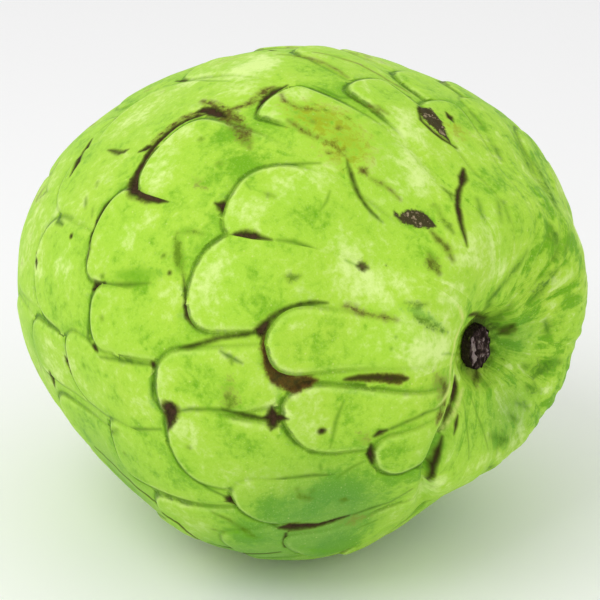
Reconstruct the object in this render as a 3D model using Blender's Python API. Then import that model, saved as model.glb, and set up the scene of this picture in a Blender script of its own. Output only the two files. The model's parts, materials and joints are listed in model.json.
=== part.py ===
# A cherimoya lying on its side: a broad heart-shaped fruit under overlapping
# thumb-print scales, with the woody stub of its stalk down in the stem cavity.
# The core is the point that the radii start from. Every place on the skin has an
# angle from the stem end (+X) and a turn round the X axis, 0 at the top and 90
# at the front (-Y). Lengths are in mm up to the last step, angles in degrees.

import math

import bmesh
import bpy
import numpy as np

NAME = "cherimoya"
MM = 0.001

# Outline of the body: distance from the core against the angle from the stem end
OUTLINE_ANGLES = (0, 14, 28, 45, 65, 90, 115, 140, 160, 180)
OUTLINE_RADII = (36.0, 41.5, 48.0, 46.0, 47.5, 48.0, 50.0, 55.0, 60.0, 63.5)
FLATTENING = 4.3  # how much the body is lower than it is wide, per side

# Broad swellings and hollows: angle, turn, height
SWELLINGS = (
    (95, 0, 1.9), (125, 30, -2.6), (128, 70, -0.7), (105, 105, -3.7),
    (85, 130, 2.6), (60, 150, 2.6), (36, 180, -2.0), (38, 215, 1.2),
    (38, 250, -2.1), (42, 285, 1.6), (55, 325, 0.5), (75, 345, -1.8),
    (104, 184, 1.2),
)
SWELLING_SPREAD = 24.0

# Fold that runs from the stem cavity down over the lower front: its turn against
# the angle from the stem end, and its depth and half width
FOLD_ANGLES = (0, 12, 18, 24, 28, 31, 34, 38, 50)
FOLD_TURNS = (112, 113, 114, 118, 123, 130, 141, 150, 165)
FOLD_DEPTH = 3.2
FOLD_HALF_WIDTH = 2.4
FOLD_MIDDLE = 27.0
FOLD_SPAN = 14.0

# Near lip of the stem cavity, raised over a steep wall: angle, height, spread
LIP_TURN = 72.0
LIP_TURN_SPREAD = 42.0
LIP_CREST = (21.0, 1.0, 5.0)
LIP_WALL = (12.5, -2.6, 4.5)

# Scales that the front shows: angle and turn of the tip, half width on the low
# turn and on the high turn side, length of the round end, lean per 10 degrees
FRONT_SCALES = (
    (101.5, 43.5, 12.0, 12.0, 8, 0.0),
    (77.3, 47.5, 9.0, 14.5, 11, -3.5),
    (77.5, 67.5, 11.5, 11.5, 8.5, -2.4),
    (60.7, 75.0, 9.0, 10.5, 9, -1.8),
    (56.5, 91, 9.0, 15.0, 12, 2.0),
    (40.8, 111, 10.0, 12.5, 6, 0.0),
    (69.5, 113.5, 9.0, 9.0, 9, 3.5),
    (66, 134, 10.5, 11.0, 7, 7.0),
    (80, 99, 10.5, 10.5, 8, 2.5),
    (81.7, 88.5, 7.5, 9.0, 6.5, -2.5),
    (100.3, 79.3, 6.8, 8.6, 6, -1.3),
    (105, 65, 12.5, 9.3, 6, 0.0),
    (126.5, 73, 12.0, 14.0, 10, 1.0),
    (132, 46, 8.0, 18.0, 13, 0.0),
    (111, 93.5, 10.0, 9.0, 7, 0.5),
    (99.5, 109, 9.0, 8.0, 6, 0.0),
    (127, 95.5, 8.5, 8.5, 6, 0.0),
    (87, 21, 8.0, 8.5, 4.5, -1.5),
    (79, 359, 8.5, 9.0, 5, 0.0),
    (132, 29, 15.0, 16.0, 9, 0.0),
    (125, 6, 8.5, 10.0, 6, 0.0),
    (60.6, 25, 16.0, 10.5, 7.5, 0.0),
    (67, 345, 8.5, 9.0, 5, 0.0),
    (70, 328, 8.0, 8.0, 5, 0.0),
    (91, 124, 8.0, 10.0, 6, 0.0),
    (78, 131, 8.5, 9.0, 6, 0.0),
)

# Rows of scales round the rest of the fruit: angle of the tips, turns of the
# first and the last scale, how many
ROWS = (
    (64, 158, 311, 10), (84, 149, 337, 12), (104, 141, 350, 13),
    (124, 113, 342, 13), (143, 12, 342, 12), (159, 27, 342, 8),
    (172, 40, 310, 4), (180, 0, 0, 1),
)
ROW_SCATTER = 1.8
ROW_LEAD = 9.0
ROW_LEAD_SCATTER = 0.2  # of the lead
ROW_LEAN = 1.5
ROW_OVERLAP = 1.06
SEED = 4

# Relief of the scales
SCALE_HEIGHT = 1.5
SCALE_FADE = 30.0  # distance behind the tip over which the height falls to a third
SHOULDER = 2.4  # width of the round edge of a scale
ROUNDNESS = 2.3  # exponent of the end's outline, 2 for an ellipse
FLOOR_HEIGHT = 0.15  # of the scale height, at the bottom of the gaps
MEAN_HEIGHT = 0.85  # taken off the body so that the scales keep its size

# Seat that the fruit rests on, under its weight
SEAT_CUT = 0.4
SEAT_SMOOTH = 9.0
SEAT_AIM = 60.0  # below the centre of mass, the point that the seat lies towards

# Flat floor of the stem cavity, the wall without scales round it, and the woody
# stub on it
FLOOR_DISTANCE = 35.4
FLOOR_ANGLE = 9.0
FLOOR_BLEND = 3.0
FLOOR_PLANE_LIMIT = 60.0  # angle past which the floor's plane isn't followed
BARE_WALL = (9.0, 27.0)  # angles between which the scales rise out of the wall
STUB_RADIUS = 4.4
STUB_LENGTH = 2.1
STUB_ASIDE = 0.7  # off the cavity's middle, towards the near lip
STUB_RIDGES = 7
STUB_SIDES_PER_RIDGE = 6
STUB_RIDGE_DEPTH = 0.07
STUB_RIDGE_UNEVEN = 1.3  # how unevenly the ridges stand round it
STUB_INSETS = (0.3, 0.45)  # of the radius, rings of the broken top
STUB_OVAL = 0.72  # width over height of its outline
STUB_CROWN = 0.9  # how far the broken top swells over its edge
STUB_CROWN_RIDGE = 0.55  # of the crown, at the ridges
STUB_CROWN_SLANT = 0.4  # of the crown, up one side and down the other
STUB_SLANT_TURN = 0.8
STUB_GAP = 0.3

# Fineness of the meshes
GRID = 96
SKIN_TRIANGLES = 11500

SKIN_COLOUR = (0.36, 0.56, 0.10)
SKIN_ROUGHNESS = 0.5
STUB_COLOUR = (0.07, 0.04, 0.025)
STUB_ROUGHNESS = 0.85


def clear_scene():
    for item in list(bpy.data.objects):
        bpy.data.objects.remove(item, do_unlink=True)


def smooth_curve(x, xs, ys):
    """Value at x of the smooth curve through the points, level at both ends."""
    xs = np.asarray(xs, float)
    ys = np.asarray(ys, float)
    step = np.diff(xs)
    rise = np.diff(ys) / step
    slope = np.zeros(len(xs))
    slope[1:-1] = (rise[:-1] * step[1:] + rise[1:] * step[:-1]) / (step[1:] + step[:-1])
    i = np.clip(np.searchsorted(xs, x, side="right") - 1, 0, len(step) - 1)
    u = np.clip((x - xs[i]) / step[i], 0, 1)
    start = ys[i] * (1 + 2 * u) * (1 - u) ** 2 + step[i] * slope[i] * u * (1 - u) ** 2
    end = ys[i + 1] * u * u * (3 - 2 * u) + step[i] * slope[i + 1] * u * u * (u - 1)
    return start + end


def smooth_step(x, low, high):
    u = np.clip((x - low) / (high - low), 0, 1)
    return u * u * (3 - 2 * u)


def turn_between(a, b):
    """Signed turn from b to a, within half a revolution."""
    return (a - b + 180) % 360 - 180


def direction(angle, turn):
    angle = np.radians(angle)
    turn = np.radians(turn)
    return np.stack([
        np.cos(angle) + 0 * turn,
        -np.sin(angle) * np.sin(turn),
        np.sin(angle) * np.cos(turn),
    ], axis=-1)


def body_radius(angle, turn):
    """Distance of the smooth body from the core."""
    sine = np.sin(np.radians(angle))
    radius = smooth_curve(angle, OUTLINE_ANGLES, OUTLINE_RADII)
    radius = radius - FLATTENING * sine ** 2 * np.cos(np.radians(2 * turn))
    pointing = direction(angle, turn)
    for at_angle, at_turn, height in SWELLINGS:
        apart = 1 - pointing @ direction(at_angle, at_turn)
        radius = radius + height * np.exp(-2 * apart / math.radians(SWELLING_SPREAD) ** 2)
    near = np.exp(-(turn_between(turn, LIP_TURN) / LIP_TURN_SPREAD) ** 2)
    for at_angle, height, spread in (LIP_CREST, LIP_WALL):
        radius = radius + height * near * np.exp(-((angle - at_angle) / spread) ** 2)
    fold_turn = smooth_curve(angle, FOLD_ANGLES, FOLD_TURNS)
    aside = np.radians(turn_between(turn, fold_turn)) * radius * sine
    along = np.exp(-((angle - FOLD_MIDDLE) / FOLD_SPAN) ** 4)
    return radius - FOLD_DEPTH * along * np.exp(-(aside / FOLD_HALF_WIDTH) ** 2)


def all_scales():
    """The front's scales, then the rows that cover the rest."""
    scales = [tuple(map(float, scale)) for scale in FRONT_SCALES]
    rng = np.random.default_rng(SEED)
    for tip, first, last, count in ROWS:
        step = (last - first) / max(count - 1, 1) if count > 1 else 360
        for k in range(count):
            wobble = rng.uniform(-1, 1, 4)
            half = step / 2 * ROW_OVERLAP
            scales.append((
                tip + ROW_SCATTER * wobble[0], first + k * step + ROW_SCATTER * wobble[1],
                half, half, ROW_LEAD * (1 + ROW_LEAD_SCATTER * wobble[2]),
                ROW_LEAN * wobble[3]))
    return scales


def relief(angle, turn, radius):
    """Height of the skin over the body: the highest scale at each place."""
    highest = np.full(angle.shape, FLOOR_HEIGHT * SCALE_HEIGHT)
    arc = math.radians(1) * radius
    around = arc * np.maximum(np.sin(np.radians(angle)), 0.02)
    for tip, at_turn, low, high, lead, lean in all_scales():
        behind = tip - angle
        aside = turn_between(turn, at_turn + lean * behind / 10)
        half = np.where(aside < 0, low, high)
        ahead = np.maximum(1 - behind / lead, 0)
        across = np.abs(aside) / half
        reach = np.maximum((ahead ** ROUNDNESS + across ** ROUNDNESS) ** (1 / ROUNDNESS), 1e-3)
        steep_along = (ahead / reach) ** (ROUNDNESS - 1) / (lead * arc)
        steep_across = (across / reach) ** (ROUNDNESS - 1) / (half * around)
        inside = (1 - reach) / np.hypot(steep_along, steep_across)
        shoulder = 1 - (1 - np.clip(inside / SHOULDER, 0, 1)) ** 2
        fade = np.exp(-np.maximum(behind * arc, 0) / SCALE_FADE)
        highest = np.maximum(highest, SCALE_HEIGHT * fade * shoulder)
    return highest


def skin_radius(angle, turn, seat):
    """Distance of the finished skin from the core."""
    radius = body_radius(angle, turn)
    height = relief(angle, turn, radius)
    calm = smooth_step(angle, *BARE_WALL)
    if seat is not None:
        apart = np.arccos(np.clip(direction(angle, turn) @ seat, -1, 1)) * radius
        calm = calm * (1 - np.exp(-(apart / SEAT_SMOOTH) ** 4))
    radius = radius + calm * (height - MEAN_HEIGHT)
    floor = FLOOR_DISTANCE / np.cos(np.radians(np.minimum(angle, FLOOR_PLANE_LIMIT)))
    blend = smooth_step(angle, FLOOR_ANGLE - FLOOR_BLEND / 2, FLOOR_ANGLE + FLOOR_BLEND)
    return floor * (1 - blend) + radius * blend


def unit_sphere(cuts):
    """A cube cut into an even grid and blown up to a ball of radius 1."""
    mesh = bmesh.new()
    bmesh.ops.create_cube(mesh, size=2)
    bmesh.ops.subdivide_edges(mesh, edges=mesh.edges[:], cuts=cuts - 1, use_grid_fill=True)
    for vertex in mesh.verts:
        for axis in range(3):
            vertex.co[axis] = math.tan(vertex.co[axis] * math.pi / 4)
        vertex.co.normalize()
    return mesh


def fine_skin(seat):
    """The ball pushed out to the finished skin, in mm about the core."""
    mesh = unit_sphere(GRID)
    ball = np.array([vertex.co[:] for vertex in mesh.verts])
    angle = np.degrees(np.arccos(np.clip(ball[:, 0], -1, 1)))
    turn = np.degrees(np.arctan2(-ball[:, 1], ball[:, 2])) % 360
    radius = skin_radius(angle, turn, seat)
    for vertex, r in zip(mesh.verts, radius):
        vertex.co *= float(r)
    bmesh.ops.triangulate(mesh, faces=mesh.faces[:])
    return mesh


def centre_of_mass(mesh):
    total = 0.0
    moment = np.zeros(3)
    for face in mesh.faces:
        a, b, c = (np.array(vertex.co) for vertex in face.verts)
        volume = np.dot(a, np.cross(b, c)) / 6
        total += volume
        moment += volume * (a + b + c) / 4
    return moment / total


def make_object(mesh, name, collection, material):
    data = bpy.data.meshes.new(name)
    mesh.to_mesh(data)
    mesh.free()
    data.materials.append(material)
    data.shade_smooth()
    item = bpy.data.objects.new(name, data)
    collection.objects.link(item)
    return item


def thinned(item, triangles):
    """The object's mesh with fewer triangles, kept where the relief needs them."""
    modifier = item.modifiers.new("Thin", "DECIMATE")
    modifier.ratio = triangles / len(item.data.polygons)
    bpy.context.view_layer.update()
    found = item.evaluated_get(bpy.context.evaluated_depsgraph_get())
    data = bpy.data.meshes.new_from_object(found)
    mesh = bmesh.new()
    mesh.from_mesh(data)
    item.modifiers.remove(modifier)
    return mesh


def make_fruit(collection, material):
    """The fruit in one solid. Returns it and the place of the core over the seat."""
    mesh = fine_skin(None)
    centre = centre_of_mass(mesh)
    mesh.free()
    below = centre - np.array([0, 0, SEAT_AIM])
    seat = below / np.linalg.norm(below)
    item = make_object(fine_skin(seat), "fruit", collection, material)
    mesh = thinned(item, SKIN_TRIANGLES)
    low = min(vertex.co.z for vertex in mesh.verts) + SEAT_CUT
    cut = bmesh.ops.bisect_plane(
        mesh, geom=mesh.verts[:] + mesh.edges[:] + mesh.faces[:],
        plane_co=(0, 0, low), plane_no=(0, 0, -1), clear_outer=True)
    rim = [part for part in cut["geom_cut"] if isinstance(part, bmesh.types.BMEdge)]
    bmesh.ops.contextual_create(mesh, geom=rim)
    bmesh.ops.triangulate(mesh, faces=mesh.faces[:])
    bmesh.ops.recalc_face_normals(mesh, faces=mesh.faces[:])
    box = np.array([vertex.co[:] for vertex in mesh.verts])
    middle = (box.min(axis=0) + box.max(axis=0)) / 2
    core = np.array([-middle[0], -middle[1], -low])
    bmesh.ops.translate(mesh, verts=mesh.verts[:], vec=core)
    bmesh.ops.scale(mesh, verts=mesh.verts[:], vec=(MM, MM, MM))
    mesh.to_mesh(item.data)
    mesh.free()
    item.data.shade_smooth()
    return item, core


def make_stub(core, collection, material):
    """A short ridged stump whose foot is a gap above the cavity's flat floor."""
    mesh = bmesh.new()
    bmesh.ops.create_cone(
        mesh, cap_ends=True, segments=STUB_RIDGES * STUB_SIDES_PER_RIDGE,
        radius1=STUB_RADIUS, radius2=STUB_RADIUS, depth=STUB_LENGTH)
    top = [face for face in mesh.faces if face.normal.z > 0.9]
    for share in STUB_INSETS:
        bmesh.ops.inset_region(mesh, faces=top, thickness=STUB_RADIUS * share)
    for vertex in mesh.verts:
        out = math.hypot(vertex.co.x, vertex.co.y) / STUB_RADIUS
        turn = math.atan2(vertex.co.y, vertex.co.x)
        uneven = STUB_RIDGE_UNEVEN * math.cos(2 * turn)
        ridge = (1 + math.cos(STUB_RIDGES * turn + uneven)) / 2
        if vertex.co.z > 0:
            slant = STUB_CROWN_SLANT * math.cos(turn - STUB_SLANT_TURN)
            vertex.co.z += STUB_CROWN * (STUB_CROWN_RIDGE * ridge * out - out ** 3 + slant)
        shrink = 1 - STUB_RIDGE_DEPTH * ridge * out
        vertex.co.x *= shrink
        vertex.co.y *= shrink * STUB_OVAL
    turned = np.array([[0, 0, 1], [0, 1, 0], [-1, 0, 0]])
    foot = FLOOR_DISTANCE + STUB_GAP + STUB_LENGTH / 2
    for vertex in mesh.verts:
        vertex.co = (turned @ np.array(vertex.co) + core + [foot, -STUB_ASIDE, 0]) * MM
    bmesh.ops.triangulate(mesh, faces=mesh.faces[:])
    bmesh.ops.recalc_face_normals(mesh, faces=mesh.faces[:])
    return make_object(mesh, "stem_stub", collection, material)


def make_material(name, colour, roughness):
    material = bpy.data.materials.new(name)
    material.use_nodes = True
    shader = material.node_tree.nodes["Principled BSDF"]
    shader.inputs["Base Color"].default_value = (*colour, 1)
    shader.inputs["Roughness"].default_value = roughness
    shader.inputs["Metallic"].default_value = 0
    material.diffuse_color = (*colour, 1)
    return material


def main():
    clear_scene()
    collection = bpy.data.collections.new(NAME)
    bpy.context.scene.collection.children.link(collection)
    skin = make_material("skin", SKIN_COLOUR, SKIN_ROUGHNESS)
    wood = make_material("stub_wood", STUB_COLOUR, STUB_ROUGHNESS)
    fruit, core = make_fruit(collection, skin)
    make_stub(core, collection, wood)
    print("fruit", len(fruit.data.polygons), "triangles, core at", np.round(core, 2), "mm")


main()
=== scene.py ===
import json
import math

import bmesh
import bpy
import numpy as np
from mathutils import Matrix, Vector, kdtree, noise

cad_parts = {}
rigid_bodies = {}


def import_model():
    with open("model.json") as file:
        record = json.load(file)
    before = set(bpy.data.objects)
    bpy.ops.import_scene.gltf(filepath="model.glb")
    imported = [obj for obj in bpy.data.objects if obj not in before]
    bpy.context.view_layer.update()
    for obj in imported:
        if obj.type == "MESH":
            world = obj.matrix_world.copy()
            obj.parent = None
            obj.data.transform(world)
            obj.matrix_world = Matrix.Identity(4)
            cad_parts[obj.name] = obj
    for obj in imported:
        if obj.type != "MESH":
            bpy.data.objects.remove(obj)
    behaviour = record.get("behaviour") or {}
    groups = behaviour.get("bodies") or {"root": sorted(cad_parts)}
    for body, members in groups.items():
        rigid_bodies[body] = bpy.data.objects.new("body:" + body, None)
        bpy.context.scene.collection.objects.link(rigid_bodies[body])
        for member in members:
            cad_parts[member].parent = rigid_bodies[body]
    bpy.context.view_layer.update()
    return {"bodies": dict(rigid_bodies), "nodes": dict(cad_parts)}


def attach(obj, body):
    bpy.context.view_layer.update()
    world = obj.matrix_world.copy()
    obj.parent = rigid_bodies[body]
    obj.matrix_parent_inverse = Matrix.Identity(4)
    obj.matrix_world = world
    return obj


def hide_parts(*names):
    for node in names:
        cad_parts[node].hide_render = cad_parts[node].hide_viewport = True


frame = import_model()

# A cherimoya on its side, seen towards the dish that its stalk grew from.
# Places on the skin are an angle from the stem end (+X) and a turn round the X axis,
# 0 at the top and 90 at the front. Lengths are in mm until a mesh is finished.

mm = 0.001
print("frame loaded:", ", ".join(frame["nodes"]))

body = {
    "core": (10.22, -0.83, 44.56),   # where the radii start
    "outlineAngles": (0, 14, 28, 45, 65, 90, 115, 140, 160, 180),
    "outlineRadii": (36.0, 41.5, 48.0, 46.0, 47.5, 48.0, 50.0, 55.0, 60.0, 63.5),
    "flattening": 4.3,
    "swellings": (   # angle, turn, height
        (95, 0, 1.9), (125, 30, -2.6), (128, 70, -0.7), (105, 105, -3.7),
        (85, 130, 2.6), (60, 150, 2.6), (36, 180, -2.0), (38, 215, 1.2),
        (38, 250, -2.1), (42, 285, 1.6), (55, 325, 0.5), (75, 345, -1.8),
        (104, 184, 1.2)),
    "swellingSpread": 24.0,
    "foldAngles": (0, 12, 18, 24, 28, 31, 34, 38, 50),
    "foldTurns": (112, 113, 114, 118, 123, 130, 141, 150, 165),
    "foldDepth": 3.2, "foldHalfWidth": 2.4, "foldMiddle": 27.0, "foldSpan": 14.0,
    "lipTurn": 72.0, "lipTurnSpread": 42.0,
    "lips": ((21.0, 1.0, 5.0), (12.5, -2.6, 4.5)),   # angle, height, spread
    "stemFloor": 35.4, "stemFloorAngle": 9.0, "stemFloorBlend": 3.0, "floorPlaneLimit": 60.0,
    "bareWall": (9.0, 27.0),   # the scales rise out of the dish's wall between these angles
    "seatFrom": (-6.4, 0.35, -60.5), "seatSpread": 9.0,
}

frontScales = {   # tip angle, tip turn, half width each side, length of the end, lean
    "s1": (101.5, 43.5, 12.0, 12.0, 8, 0.0), "s2": (77.3, 47.5, 9.0, 14.5, 11, -3.5),
    "s3": (77.5, 67.5, 11.5, 11.5, 8.5, -2.4), "s4": (60.7, 75.0, 9.0, 10.5, 9, -1.8),
    "s5": (56.5, 91, 9.0, 15.0, 12, 2.0), "s6": (40.8, 111, 10.0, 12.5, 6, 0.0),
    "s7": (69.5, 113.5, 9.0, 9.0, 9, 3.5), "s8": (66, 134, 10.5, 11.0, 7, 7.0),
    "s9": (80, 99, 10.5, 10.5, 8, 2.5), "s10": (81.7, 88.5, 7.5, 9.0, 6.5, -2.5),
    "s11": (100.3, 79.3, 6.8, 8.6, 6, -1.3), "s12": (105, 65, 12.5, 9.3, 6, 0.0),
    "s13": (126.5, 73, 12.0, 14.0, 10, 1.0), "s14": (132, 46, 8.0, 18.0, 13, 0.0),
    "s15": (111, 93.5, 10.0, 9.0, 7, 0.5), "s16": (99.5, 109, 9.0, 8.0, 6, 0.0),
    "s17": (127, 95.5, 8.5, 8.5, 6, 0.0), "s19": (87, 21, 8.0, 8.5, 4.5, -1.5),
    "s21": (79, 359, 8.5, 9.0, 5, 0.0), "s22": (132, 29, 15.0, 16.0, 9, 0.0),
    "s23": (125, 6, 8.5, 10.0, 6, 0.0), "s24": (60.6, 25, 16.0, 10.5, 7.5, 0.0),
    "s25": (67, 345, 8.5, 9.0, 5, 0.0), "s28": (70, 328, 8.0, 8.0, 5, 0.0),
    "s26": (91, 124, 8.0, 10.0, 6, 0.0), "s27": (78, 131, 8.5, 9.0, 6, 0.0),
}

scales = {
    "rows": (   # angle of the tips, first turn, last turn, how many
        (64, 158, 311, 10), (84, 149, 337, 12), (104, 141, 350, 13),
        (124, 113, 342, 13), (143, 12, 342, 12), (159, 27, 342, 8),
        (172, 40, 310, 4), (180, 0, 0, 1)),
    "scatter": 1.8, "lead": 9.0, "leadScatter": 0.2, "lean": 1.5, "overlap": 1.06, "seed": 4,
    "height": 1.5, "fade": 30.0, "shoulder": 2.4, "roundness": 2.3,
    "gapHeight": 0.15, "meanHeight": 0.85,
    "blend": 0.25,   # mm of height over which one scale's edge melts into the next
    "leastSlope": 0.04, "leastRing": 0.02,
}

skin = {
    "cuts": 128, "reach": 3.0,   # cells along a side of the grown cube; mm that the fields cover
    "snap": 0.5,                 # of a cell, how far a point may move to lie on a crease
    "swell": 0.22, "swellSize": 9.0, "fineSwell": 0.4, "fineSwellSize": 2.6,
    "tipReach": 7.5,   # mm behind a scale's tip that are paler: a painted highlight
    "taper": 0.4, "leastLength": 0.02,   # how wide a mark stays at its ends; mm
    "dipFrom": (-0.1, 0.7), "poolShare": 0.85,
    "wrinkle": 0.56, "wrinkleTop": 0.1, "wrinkleCount": 62,
    "wrinkleTurns": (175, 350), "wrinkleFade": (25, 10), "wrinkleAngles": (9, 16, 44, 62),
    "flankAngles": (7, 13, 50, 75),
    "toneSeed": 7, "gapTone": -1.6, "readTone": 0.4,   # tones between the scales and on those read off
    "unseenFrom": (0.0, 0.22),   # how far round from the photo's side the marks drawn by rule begin
}

photo = {   # the photo's view; mm, degrees, pixels
    "azimuth": 41.0, "elevation": 21.0, "distance": 371.0, "lens": 120.0, "sensor": 36.0,
    "shift": (-0.0322, -0.0072), "side": 600,
    "pixel": 0.19,   # mm of skin that a pixel shows
    "reach": 80,     # mm before the core where the search for the skin starts
    "searches": (    # mm to step back, step, steps, with or without the scales
        (0, 1.0, 160, False), (3, 0.5, 14, True), (0.5, 0.05, 11, True)),
}

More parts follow.
